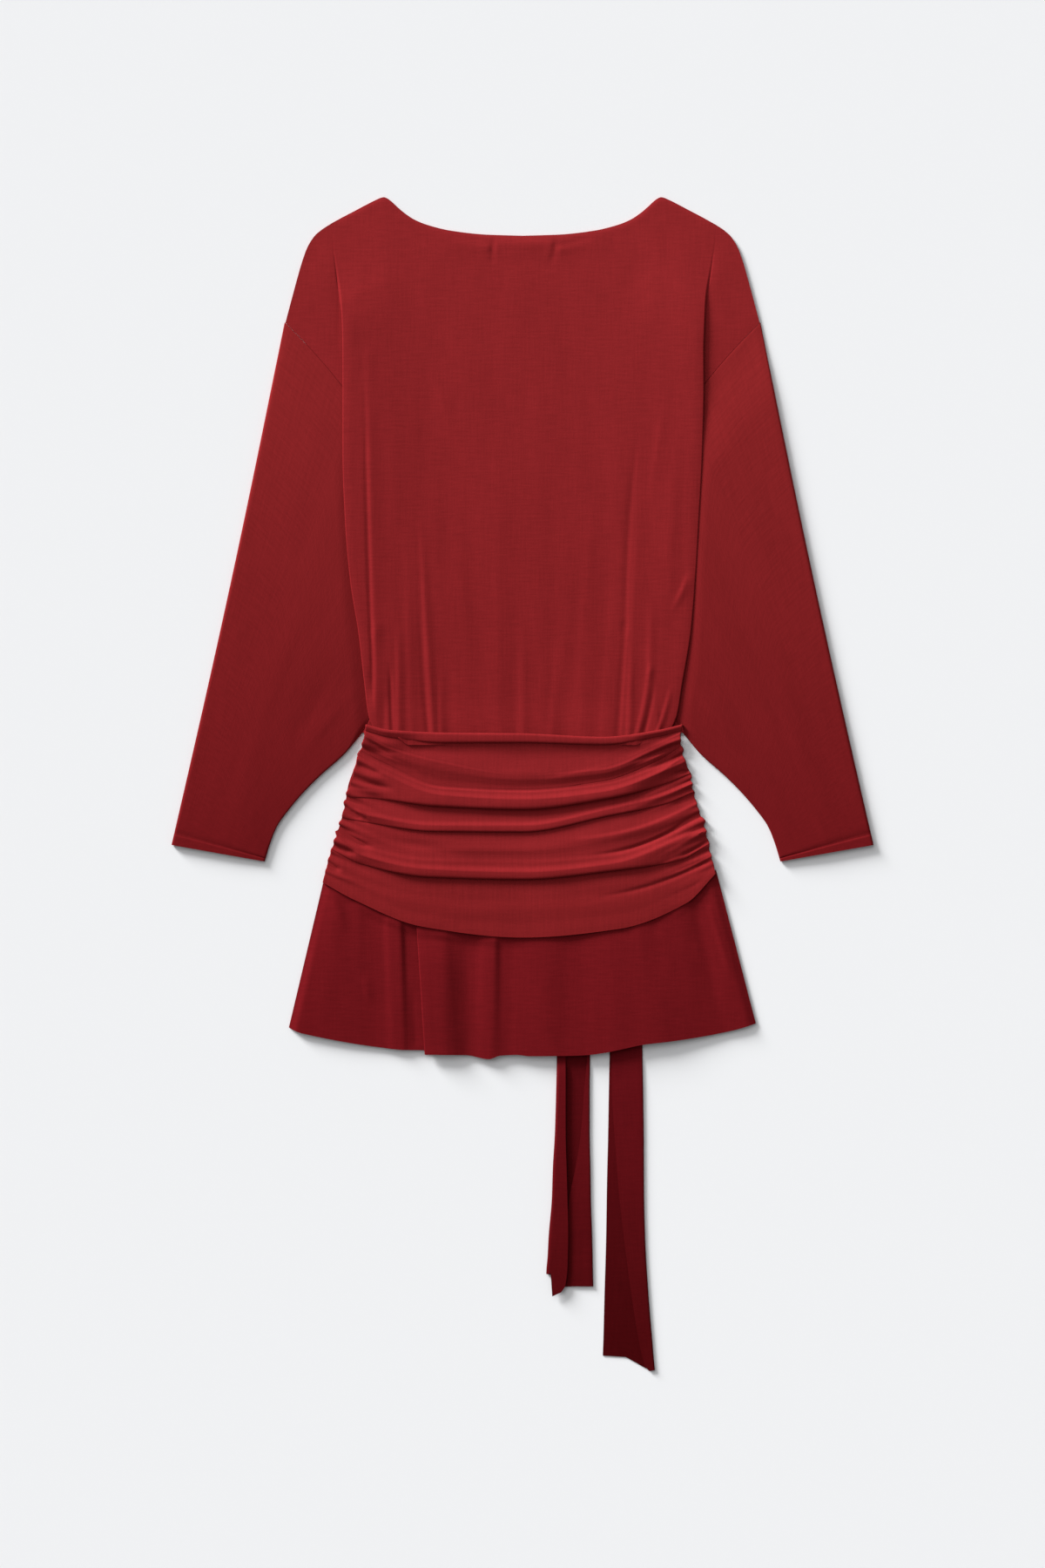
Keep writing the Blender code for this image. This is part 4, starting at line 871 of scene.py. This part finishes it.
# Short folds and creases between the long ones, most of them fanning out of the side seams.
BAND_SHORT_FOLDS = table(
    FOLD_COLUMNS,
    (-152, 46, -124, 26.5, 1.5, -2.75, -2.95, 0, 2.62, 2.62),
    (-153, 36, -112, 18, 1, 0.56, 0.77, 0, 1.2, 2.6),
    (-157, 17.5, -134, 9, 0.5, -2.35, -1.57, 0, 2.42, 2.82),
    (-160, 11.5, -128, 3, 0.5, 0.42, 0.56, 0, 1.2, 2.6),
    (-164, 5, -122, -5.5, 0.5, -3.14, -2.17, 0, 2.62, 3.02),
    (-166, -5, -134, -9.5, 0, 0.42, 0.56, 0, 1.4, 2.6),
    (-172.5, -24, -155, -33.5, 0.6, -4.32, -4.32, -1.57, 2.62, 3.23),
    (-166, -23, -151, -33, -0.8, 0.42, 1.05, 0.56, 1.3, 2),
    (-179, -45, -142, -63, 2.5, -3.92, -3.32, 0, 3.02, 3.23),
    (-176, -50.5, -150, -66, 1.5, 0.42, 0.63, 0, 1.2, 2.2),
    (-183.5, -60.5, -160, -68, 0.6, -3.14, -2.35, 0, 2.62, 2.82),
    (-189, -77, -176, -86, 0.3, -3.14, -2.17, 0, 2.62, 3.02),
    (-188, -86, -158, -96, 0.5, 0.49, 0.42, 0, 1.3, 3),
    (-156, -50, -52, -67, 1.5, 0, -1.77, 0, 6.05, 5.24),
    (-60, 30, 70, 27, 1.5, 0, -0.5, 0, 7, 7),
    (10, 2, 95, 21, 1.5, 0, 0.5, 0, 2, 5),
    (102, 19.5, 149, 39.5, 0.6, 0, -2.02, -2.63, 2.16, 2.16),
    (112, 18, 151, 36.5, 0.6, 0.2, 0.9, 1.1, 1.2, 2.2),
    (118, 12.5, 156, 28.5, 0.6, 0, -1.55, -2.48, 1.73, 2.02),
    (124, 8, 158, 22, 0.6, 0, 0.8, 1, 1.2, 2.2),
    (157, 16, 164.5, 7.5, -1.2, 1.2, 1.9, 1.2, 1.5, 1.5),
    (152, 11, 161, 12.5, 0, -1.24, -2.48, -2.48, 1.73, 1.73),
    (146, -19.5, 168, -10, 0.5, 0, -1.86, -2.79, 2.02, 2.02),
    (60, -71, 170, -31, 8, 0, -1.8, -2.8, 2, 3),
    (35, -55, 170, -20, 9, 0, 1.3, 1.6, 1.8, 5),
    (128, -72, 176, -46, 1.5, 0, 0.8, 1, 1.2, 3),
    (148, -73, 178, -57, 1, 0, -2.02, -2.79, 2.02, 2.02),
    (158, -50, 180, -41.5, 0.3, 0, -2.02, -2.79, 1.73, 1.87),
    (136, -92, 186, -69.5, 1.5, 0, 0.9, 1.2, 1.3, 3.6),
    (60, -112, 178, -77, 6, 0, -1, -1.9, 2.2, 2.4),
    (120, -84, 178, -61, 1, 0, 0.7, 1, 1.2, 3),
)
SEAM_GATHER_PITCH = 10.0
SEAM_GATHER_SLANT = 0.42
SEAM_GATHER_RISE = 1.5
SEAM_GATHER_REACH = 18.0
SEAM_SCALLOP = 0.9
SEAM_SCALLOP_REACH = 6.0
SEAM_GATHER_SWING = 3.4
SEAM_GATHER_LEAST = 0.75
SEAM_GATHER_REACHES = (0.7, 0.6)
GATHER_BEND = Waver(1.0, 1.0, 17.0, 4.5)
GATHER_BEND_PLACE = 3.0
GATHER_UNEVEN = Waver(0.9, 1.0, 9.0, 2.5)
GATHER_UNEVEN_PLACE = 9.0
BAND_CALM_DOWN = (46.0, -8.0)
BAND_CALM_EDGE = (4.0, 14.0)
BAND_WAVER = Waver(0.35, 55.0, 14.0, 11.5)

BAND_GROUND = 4.6
BAND_GROUND_TOP = 1.0
BAND_TOP_UP = (30.0, 12.0)
BAND_GROUND_CORNER = 1.6
BAND_CORNER_OUT = (100.0, 25.0)
BAND_GROUND_BOTTOM = 5.0
BAND_GROUND_TIES = 1.4
BAND_SIDE_LOWER = 0.5
BAND_SIDE_LOWER_OUT = (90.0, 80.0)
BAND_TIES_RIGHT = (-20.0, 60.0)
BAND_BOTTOM_DOWN = (20.0, -115.0)
BAND_SIDE_TURN = 0.25
BAND_SIDE_TURN_SHARE = 0.85
BAND_SIDE_FADE = 24.0
BAND_CORNER_HEIGHT = 3.5
BAND_CORNER_UP = (44.0, 5.0)
BAND_CORNER_LOW_EDGE = (11.0, -6.0)


def band_ground(x, y):
    """Height of the band's deeper creases over the table, clear of the bodice and the flounce."""
    top = ease(y, *BAND_TOP_UP)
    corner = top * ease(np.abs(x), *BAND_CORNER_OUT)
    over_ties = BAND_GROUND_TIES * ease(x, *BAND_TIES_RIGHT)
    by_side = BAND_SIDE_LOWER * ease(np.abs(x), *BAND_SIDE_LOWER_OUT)
    bottom = ease(y, *BAND_BOTTOM_DOWN) * (1.0 - by_side)
    raised = BAND_GROUND_TOP * top + BAND_GROUND_CORNER * corner
    return BAND_GROUND + raised + (BAND_GROUND_BOTTOM + over_ties) * bottom


def band_shares():
    """Columns across the band, closest together at the side seams where the gathers are."""
    side = np.arange(BAND_SIDE_STEP, BAND_SIDE_REGION, BAND_SIDE_STEP)
    middle = spread([BAND_SIDE_REGION, 1.0], BAND_COLUMN_STEP)
    half = np.concatenate((BAND_FIRST_SHARES, side, middle))
    return np.concatenate((half - 1.0, (1.0 - half)[-2::-1]))


def seam_gathers(inwards, y, sign):
    """Small uneven gathers along a side seam, from about -1 to 1, and how far each has faded."""
    line = y + SEAM_GATHER_SLANT * inwards
    bend = waver(GATHER_BEND, GATHER_BEND_PLACE * sign, line)
    swing = np.sin(2.0 * math.pi * line / SEAM_GATHER_PITCH + SEAM_GATHER_SWING * bend)
    uneven = SEAM_GATHER_LEAST + waver(GATHER_UNEVEN, GATHER_UNEVEN_PLACE * sign, line)
    least, more = SEAM_GATHER_REACHES
    return swing * uneven, np.exp(-inwards / (SEAM_GATHER_REACH * (least + more * np.abs(bend))))


def band_fold_lines(share):
    """Every line of the folds as its kind, x, y and rise, with a foot line above each lip."""
    lines = []
    for i, line in enumerate(BAND_LINES):
        x, y = band_place(line.at, share)
        rise = curve_through(RISE_SHARES, line.rise, share)
        if line.kind in ("crest", "ridge") and lines:
            rise = rise + waver(CREST_WAVER, x, CREST_WAVERS_APART * i)
        lip = curve_through(RISE_SHARES, line.lip, share)
        if lip.any():
            above_y = lines[-1][2]
            foot_y = y + np.minimum(LIP_LEAST_WIDTH + LIP_WIDTH * lip, LIP_SHARE * (above_y - y))
            lines.append(("foot", x, foot_y, rise - lip))
        lines.append((line.kind, x, y, rise))
    return lines


def back_band_points():
    share = band_shares()
    sign = np.where(share < 0.0, -1.0, 1.0)
    lines = band_fold_lines(share)
    rows = []
    for (kind, x1, y1, rise1), (_, x2, y2, rise2) in zip(lines, lines[1:]):
        steps = max(LEAST_STEPS[kind], math.ceil(np.abs(y2 - y1).max() / BAND_ROW_STEP))
        tuck = TUCK_SHARE * np.abs(rise2 - rise1)
        for part in np.arange(steps) / steps:
            distance, height = (
                float(column_of(PASSAGES[kind], "part", name, part)) for name in PASSAGE_COLUMNS.split()[1:]
            )
            y = mix(y1, y2, distance)
            if kind == "crest":
                slack = SIDE_SLACK * ease(np.abs(share), *SIDE_SLACK_ALONG)
                height = mix(height, distance, slack)
                y = y + tuck * float(column_of(TUCKED, "part", "distance", part))
            elif kind == "crease":
                y = y + last_tuck * (1.0 - part) ** 3
            rows.append(band_row(mix(x1, x2, distance), y, mix(rise1, rise2, height), share, sign))
        last_tuck = tuck
    rows.append(band_row(*lines[-1][1:], share, sign))
    return np.array(rows)


def band_row(x, y, rise, share, sign):
    """One row of the band's points, with its short folds, and brought down at the side seams."""
    side_x = np.where(share < 0.0, -x[0], x[-1])
    inwards = side_x - np.abs(x)
    bottom_y = np.where(share < 0.0, BAND_BOTTOM[0], BAND_BOTTOM[-1])
    at_corner = np.maximum(ease(y, *BAND_CORNER_UP), ease(y - bottom_y, *BAND_CORNER_LOW_EDGE))
    edge_z = mix(BACK_LAYER, BAND_CORNER_HEIGHT, at_corner)
    swing, reach = seam_gathers(inwards, y, sign)
    inside = ease(y, *BAND_CALM_DOWN) * ease(y - band_bottom_y(x), *BAND_CALM_EDGE)
    gathers = SEAM_GATHER_RISE * swing * reach
    height = band_ground(x, y) + rise + waver(BAND_WAVER, x, y)
    height = height + inside * (gathers + soft_folds(BAND_SHORT_FOLDS, x, y))
    edge_turn = np.sin(math.pi / 2.0 * np.minimum(inwards / BAND_SIDE_TURN, 1.0))
    turned = mix(ease(inwards / BAND_SIDE_FADE), edge_turn, BAND_SIDE_TURN_SHARE)
    scallop = SEAM_SCALLOP * inside * swing * np.exp(-inwards / SEAM_SCALLOP_REACH)
    return grid(x + sign * scallop, y, mix(edge_z, np.maximum(height, edge_z), turned))


band_back = cloth("band_back_panel", back_band_points(), band_jersey)
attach(band_back, "root")
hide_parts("band_back")

# ------------------------------
# Front of the flounce: a flared piece sewn under the front band, lying flat on the table and
# over the ties. Its hem is turned and blind-stitched.
HEM = table(
    "across y",
    (-227.8, -237.5), (-218, -242.3), (-205.7, -245.2), (-173.4, -251.6), (-140, -256.7),
    (-114.8, -259.3), (-96.5, -259.6), (-93, -263.6), (-54.4, -264.4), (-33, -268.2),
    (-21.7, -264.8), (-5, -264), (6.8, -265.2), (47.6, -264.8), (64.6, -264), (80.8, -261.8),
    (96.9, -258.4), (116.5, -254.2), (145.4, -250.8), (178.5, -245.7), (210.8, -238.9),
    (227.5, -233.5),
)
WAVE_COLUMNS = "band_x hem_x band_rise hem_rise"
WAVES_LEFT_OF_PLEAT = table(
    WAVE_COLUMNS,
    (-193.6, -227.8, 0, 0), (-188, -219, 1, 1.5), (-180, -198, 2, 1.4), (-170, -180, 1.5, 1.1),
    (-160, -163, 1.3, 0.8), (-153, -152, 0.4, 0.4), (-146, -143, 0, 0.2), (-138, -134, 0.3, 0.3),
    (-131, -124.5, 2.1, 1.4), (-120, -116.5, 2.6, 1.5), (-115.8, -110.5, 0.1, 0.5),
    (-105.5, -101, 0, 0),
)
WAVES_RIGHT_OF_PLEAT = table(
    WAVE_COLUMNS,
    (-94, -86, 0.1, 0), (-84, -75, 0.5, 0.4), (-76.5, -66, 0.4, 0.5), (-71, -60, 0, 0.3),
    (-58, -55, 0, 0.1), (-46, -48, 0.1, 0.3), (-36, -38, 1.8, 1.2), (-27, -30, 2.4, 1.6),
    (-20.5, -20, 0.1, 0.5), (-11, -12, 0, 0.1), (-4, -5, 0.1, 0.5), (8, 8, 0.7, 0.8),
    (20, 22, 1.1, 1.1), (29, 34, 0.8, 0.9), (42, 48, 0.1, 0.4), (54, 61, 0.2, 0.4),
    (67, 76, 1.2, 1), (84, 96, 2, 1.7), (97, 112, 2, 1.6), (109, 127, 2.2, 1.5),
    (117, 138, 1.5, 1.3), (126, 149, 0.6, 1.1), (137, 162, 0.8, 1), (149, 175, 1.3, 1.1),
    (157, 187, 1, 0.9), (165, 197, 0.3, 0.5), (172, 206, 1.1, 0.7), (181, 218, 2, 0.8),
    (188.6, 227.5, 0, 0),
)
FLOUNCE_MARGIN = 18.0
FRONT_MARGIN_REACH = 148.0
FRONT_SIDE_MARGIN = -1.4
MARGIN_FADE = 30.0
FRONT_CLIMB_EDGE = (-12.0, 9.0)
FRONT_CLIMB_OUT = (150.0, 20.0)
TIE_ROOM_LEFT = 28.0
TIE_ROOM_RIGHT = 135.0
TIE_ROOM_HEIGHT = 2.9
TIE_ROOM_SLOPES = (12.0, 12.0)
FRONT_FLOUNCE_ROWS = 46
FRONT_FLOUNCE_STEP = 5.0

# The flounce is a darker copy of the jersey's colour, darker still towards the hem: painted shade for the
# light falling off towards the hem.
FLOUNCE_DYE_AND_SHADE = DyeWithPaintedFalloff((0.149, 0.0077, 0.0105), (0.131, 0.0065, 0.0090), -120.0, -240.0)


def flounce_top_y(x, reach, side_margin):
    """Upper edge of the flounce: well inside the band, less so from this reach outwards."""
    inside = 1.0 - ease(np.abs(x), reach - MARGIN_FADE, MARGIN_FADE)
    return band_bottom_y(x) + mix(side_margin, FLOUNCE_MARGIN, inside)


def flounce_front_z(x, y, slopes=TIE_ROOM_SLOPES):
    """Height of the front flounce: over the front band's edge, and over the room for the ties."""
    over_band = ease(y - band_bottom_y(x), *FRONT_CLIMB_EDGE) * (1.0 - ease(np.abs(x), *FRONT_CLIMB_OUT))
    left, right = slopes
    room = ease(x, TIE_ROOM_LEFT - left, left) * ease(x, TIE_ROOM_RIGHT + right, -right)
    return FRONT_LAYER + mix(LAYER * over_band, TIE_ROOM_HEIGHT, room)


def front_flounce_points():
    waves = WAVES_LEFT_OF_PLEAT + WAVES_RIGHT_OF_PLEAT
    hem_x = spread([wave.hem_x for wave in waves], FRONT_FLOUNCE_STEP)[None, :]
    band_x = column_of(waves, "hem_x", "band_x", hem_x)
    share = np.linspace(0.0, 1.0, FRONT_FLOUNCE_ROWS)[:, None]
    x = mix(band_x, hem_x, share)
    top_y = flounce_top_y(band_x, FRONT_MARGIN_REACH, FRONT_SIDE_MARGIN)
    y = mix(top_y, column_of(HEM, "across", "y", hem_x), share)
    return grid(x, y, flounce_front_z(x, y))


flounce_jersey = jersey("flounce_jersey", FLOUNCE_DYE_AND_SHADE, courses=1.2, wales=0.8)
flounce_front = cloth("flounce_front_panel", front_flounce_points(), flounce_jersey)
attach(flounce_front, "root")
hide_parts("flounce_front")

# ------------------------------
# The two ties: strips of the same jersey that come out from under the hem. The left one is folded
# in three lengthwise and ends in a point, the right one has its right part folded over its left.
TIE_COLUMNS = "y left right left_lobe right_lobe"
LEFT_TIE = table(
    TIE_COLUMNS,
    (-150, 35, 65, 43, 58), (-262, 34, 65.5, 42, 63), (-300, 33.2, 65, 42, 60),
    (-340, 32, 65, 42, 57), (-375, 30, 65.8, 43, 51.5), (-405, 29, 66.2, 43.8, 45.5),
    (-440, 26, 67.4, 44.5, 42), (-462, 24.8, 68, 44, 38), (-473, 23.8, 68.4, 41, 35),
    (-478, 23.6, 68.6, 29, 32),
)
RIGHT_TIE = table(
    TIE_COLUMNS,
    (-150, 86, 116.5, 0, 90), (-262, 85, 116.6, 0, 86.8), (-300, 84.3, 117.2, 0, 87.2),
    (-345, 83.5, 117.8, 0, 90), (-392, 82.4, 118, 0, 93.5), (-443, 81.6, 119.2, 0, 99),
    (-500, 80, 122.6, 0, 106.5), (-540, 79, 126, 0, 113), (-560, 78.4, 128.8, 0, 119.5),
)
LEFT_TIE_END = table(
    "part y",
    (0, -491), (0.1, -490), (0.3, -490), (0.4, -489.5), (0.5, -484), (0.6, -478.5), (0.9, -477),
    (1, -499.5),
)
RIGHT_TIE_END = table("part y", (0, -568), (0.17, -572.5), (0.67, -571), (0.83, -559), (1, -557.6))
LOBE_CLIMBS_DOWN = (-258.0, -26.0)
LOBE_HEIGHT = 4.2
TIE_BELOW_BAND = 1.0
TIE_SLANT_REACH = 24.0
TIE_ROWS = 110
TIE_TURN_STEPS = 7
TIE_FLAT_STEPS = 9

# The ties' colours, darker than the flounce and darker still towards their ends: painted shade for the light
# falling off towards the hem.
TIE_DYE_AND_SHADE = DyeWithPaintedFalloff((0.116, 0.0056, 0.0084), (0.067, 0.0031, 0.0042), -262.0, -540.0)
# Painted shade: how bright the side of a tie that faces up in its under layers is, against the side that
# faces up in its lobes.
TIE_UNDER_LAYER_SHADE = 0.78


def tie_turn(edge, first_z, last_z, sign):
    """Points round a folded side of a tie, out to its edge, from one layer to the other."""
    radius = abs(last_z - first_z) / 2.0
    angle = np.linspace(0.0, math.pi, TIE_TURN_STEPS)
    x = edge - sign * radius * (1.0 - np.sin(angle))
    return np.stack((x, mix(first_z, last_z, (1.0 - np.cos(angle)) / 2.0)), axis=-1)


def flat_run(first, last):
    """Points between two places of a tie's section, without the places themselves."""
    part = np.linspace(0.0, 1.0, TIE_FLAT_STEPS + 1)[1:-1, None]
    return mix(np.asarray(first), np.asarray(last), part)


def left_tie_section(row):
    """Right lobe over the middle, round the right fold, along the table and back over as the left lobe."""
    lobe_z = mix(BACK_LAYER, LOBE_HEIGHT, float(ease(row.y, *LOBE_CLIMBS_DOWN)))
    left_turn = tie_turn(row.left, FRONT_LAYER, lobe_z, -1.0)
    across = right_tie_section(row, left_turn[0])
    end = np.array([row.left_lobe, lobe_z])
    return np.concatenate((across[:-1], left_turn, flat_run(left_turn[-1], end), end[None]))


def right_tie_section(row, last=None):
    """From the right lobe's edge round the right fold and back under it, to the left edge."""
    right_turn = tie_turn(row.right, BACK_LAYER, FRONT_LAYER, 1.0)
    start = np.array([row.right_lobe, BACK_LAYER])
    end = np.array([row.left, FRONT_LAYER]) if last is None else last
    return np.concatenate((
        start[None], flat_run(start, right_turn[0]), right_turn, flat_run(right_turn[-1], end), end[None],
    ))


def tie_points(rows, section, ends):
    """A tie's grid: from the lower edge of the front band down to its loose end, cut on the slant."""
    heights = np.linspace(rows[0].y, rows[-1].y, TIE_ROWS)
    sizes = [column_of(rows, "y", name, heights) for name in TIE_COLUMNS.split()[1:]]
    points = []
    for measures in zip(heights, *sizes):
        row = rows[0]._make(float(measure) for measure in measures)
        across = section(row)
        points.append(grid(across[:, 0], row.y, across[:, 1]))
    points = np.array(points)
    points[0, :, 1] = band_bottom_y(points[0, :, 0]) - TIE_BELOW_BAND
    part = np.linspace(0.0, 1.0, points.shape[1])
    slant = np.interp(part, [end.part for end in ends], [end.y for end in ends]) - rows[-1].y
    lead = ease(heights, rows[-1].y + TIE_SLANT_REACH, -TIE_SLANT_REACH)[:, None]
    points[..., 1] += lead * slant[None, :]
    return points


tie_jersey = jersey("tie_jersey", TIE_DYE_AND_SHADE, shaded_second_face=TIE_UNDER_LAYER_SHADE)
TIES = (
    ("left", LEFT_TIE, left_tie_section, LEFT_TIE_END, (0.066, 0.335), 0.0215),
    ("right", RIGHT_TIE, right_tie_section, RIGHT_TIE_END, (0.070, 0.420), 0.0240),
)
for side, sizes, section, ends, flat, area in TIES:
    points = tie_points(sizes, section, ends)
    tie = cloth("tie_" + side + "_strip", points, tie_jersey, sleeve_grain(points), shaded_second_face=True)
    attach(tie, "root")
    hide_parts("tie_" + side)

# ------------------------------
# Back of the flounce: a flared piece gathered a little under the band, so that it falls in soft
# round folds, one of which has laid itself over to the left as a pleat.
PLEAT_EDGE_BAND_X = -104.0
PLEAT_EDGE_HEM_X = -95.0
PLEAT_DEPTH = 7.0
PLEAT_TURN = 172.0
PLEAT_PUFF = 0.9
PLEAT_START = 0.3
PLEAT_OPENS_ALONG = (0.1, 0.3)
PLEAT_FLAT_TOP = 14.0
PLEAT_FLAT_HEM = 9.0
PLEAT_FALL_TOP = 27.0
PLEAT_FALL_HEM = 28.0
BACK_MARGIN_REACH = 178.0
BACK_SIDE_MARGIN = 4.0
FLOUNCE_LOFT = 0.3
FLOUNCE_HEM_LOFT = 1.5
FLOUNCE_SIDE_TURN = 8.0
BACK_TIE_ROOM_SLOPES = (95.0, 52.0)
WAVES_START = 0.8
WAVES_FULL_AT = 0.3
FLOUNCE_ROWS = 96
FLOUNCE_STEP = 2.2
FLOUNCE_WAVER = Waver(0.2, 16.0, 60.0, 21.5)
FLOUNCE_SHORT_FOLDS = table(
    FOLD_COLUMNS,
    (-147, -218, -157, -183, 0, 0, 0.6, 0, 3, 6),
    (-170, -145, -188, -105, 0, 0, 1, 0.7, 6, 5),
    (207, -198, 184, -122, 0, 0, 0.7, 0.5, 3, 1.8),
    (-104, -250, -108, -190, 0, -0.6, -0.5, 0, 4, 3),
)


def flounce_waves(waves, share, rise_share):
    """x, y and height of the waves at one row, with softly rounded steps between them."""
    knots = [wave.hem_x for wave in waves]
    hem_x = spread(knots, FLOUNCE_STEP)
    band_x = np.interp(hem_x, knots, [wave.band_x for wave in waves])
    x = mix(band_x, hem_x, share)
    top_y = flounce_top_y(band_x, BACK_MARGIN_REACH, BACK_SIDE_MARGIN)
    y = mix(top_y, column_of(HEM, "across", "y", hem_x), share)
    band_rise, hem_rise = (column_of(waves, "hem_x", name, hem_x) for name in ("band_rise", "hem_rise"))
    return x, y, mix(band_rise, hem_rise, share) * rise_share


def back_flounce_points():
    rows = []
    for share in np.linspace(0.0, 1.0, FLOUNCE_ROWS):
        rise_share = mix(WAVES_START, 1.0, float(ease(share, 0.0, WAVES_FULL_AT)))
        left, right = (
            flounce_waves(waves, share, rise_share) for waves in (WAVES_LEFT_OF_PLEAT, WAVES_RIGHT_OF_PLEAT)
        )
        heights = []
        for x, y, rise in (left, right):
            inwards = np.minimum(x - left[0][0], right[0][-1] - x)
            turned = np.sin(math.pi / 2.0 * np.clip(inwards / FLOUNCE_SIDE_TURN, 0.0, 1.0))
            extra = rise_share * (soft_folds(FLOUNCE_SHORT_FOLDS, x, y) + waver(FLOUNCE_WAVER, x, y))
            lift = np.maximum(mix(FLOUNCE_LOFT, FLOUNCE_HEM_LOFT, share) + rise + extra, 0.0)
            heights.append(flounce_front_z(x, y, BACK_TIE_ROOM_SLOPES) + LAYER + lift * turned)
        left_z, right_z = heights
        edge = mix(PLEAT_EDGE_BAND_X, PLEAT_EDGE_HEM_X, share)
        opened = mix(PLEAT_START, 1.0, float(ease(share, *PLEAT_OPENS_ALONG)))
        section = fold_section(edge, left_z[-1], PLEAT_TURN, PLEAT_DEPTH * opened, PLEAT_PUFF * opened)
        pleat_x, pleat_z = np.array(section).T
        slope = ease(np.linspace(0.0, 1.0, len(section)))
        pleat = grid(pleat_x, mix(left[1][-1], right[1][0], slope), pleat_z)
        flat = mix(PLEAT_FLAT_TOP, PLEAT_FLAT_HEM, share)
        fall = mix(PLEAT_FALL_TOP, PLEAT_FALL_HEM, share)
        fallen = 1.0 - ease(right[0] - right[0][0], flat, fall)
        right_z = right_z + max(pleat_z[-1] - right_z[0], 0.0) * fallen
        rows.append(np.concatenate((grid(*left[:2], left_z), pleat, grid(*right[:2], right_z))))
    return np.array(rows)


flounce_back = cloth("flounce_back_panel", back_flounce_points(), flounce_jersey)
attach(flounce_back, "root")
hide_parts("flounce_back")

# ------------------------------
# The table and the light: a matt pale top, a low lamp at the upper left, which draws the folds and a
# shadow to the lower right, a broad lamp above it that softens both, and even light all round.
TABLE_SIZE = 8000.0
TABLE_GREY = (0.800, 0.808, 0.822)
TABLE_ROUGHNESS = 0.9
LAMPS = table(
    "name energy height side spread",
    ("main_lamp", 6.4, 16, 134, 20), ("broad_lamp", 1.25, 45, 130, 60),
)
ROOM_LIGHT = 0.25

bpy.ops.object.select_all(action="DESELECT")
bpy.ops.mesh.primitive_plane_add(size=TABLE_SIZE * MM, location=(0.0, 0.0, 0.0))
table_top = bpy.context.object
table_top.name = "table_top"
table_matt = bpy.data.materials.new("table_matt")
table_matt.use_nodes = True
table_matt.node_tree.nodes.clear()
table_start = Shade(table_matt.node_tree)
table_shader = table_start.made(
    "ShaderNodeBsdfPrincipled",
    sockets={
        "Base Color": (*TABLE_GREY, 1.0), "Roughness": TABLE_ROUGHNESS, "Specular IOR Level": 0.0,
    },
)
table_start.made("ShaderNodeOutputMaterial", sockets={"Surface": table_shader})
table_top.data.materials.append(table_matt)
table_top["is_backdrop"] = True

for lamp in LAMPS:
    bpy.ops.object.light_add(type="SUN")
    light = bpy.context.object
    light.name = lamp.name
    light.data.energy = lamp.energy
    light.data.angle = math.radians(lamp.spread)
    light.rotation_euler = (math.radians(90.0 - lamp.height), 0.0, math.radians(lamp.side + 90.0))

room = bpy.data.worlds.new("room_light")
room.use_nodes = True
room.node_tree.nodes["Background"].inputs["Color"].default_value = (1.0, 1.0, 1.0, 1.0)
room.node_tree.nodes["Background"].inputs["Strength"].default_value = ROOM_LIGHT
bpy.context.scene.world = room
bpy.context.scene.view_settings.view_transform = "Standard"

low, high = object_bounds()
sizes = {"cad": [list(cad_low), list(cad_high)], "visual": [list(low), list(high)]}
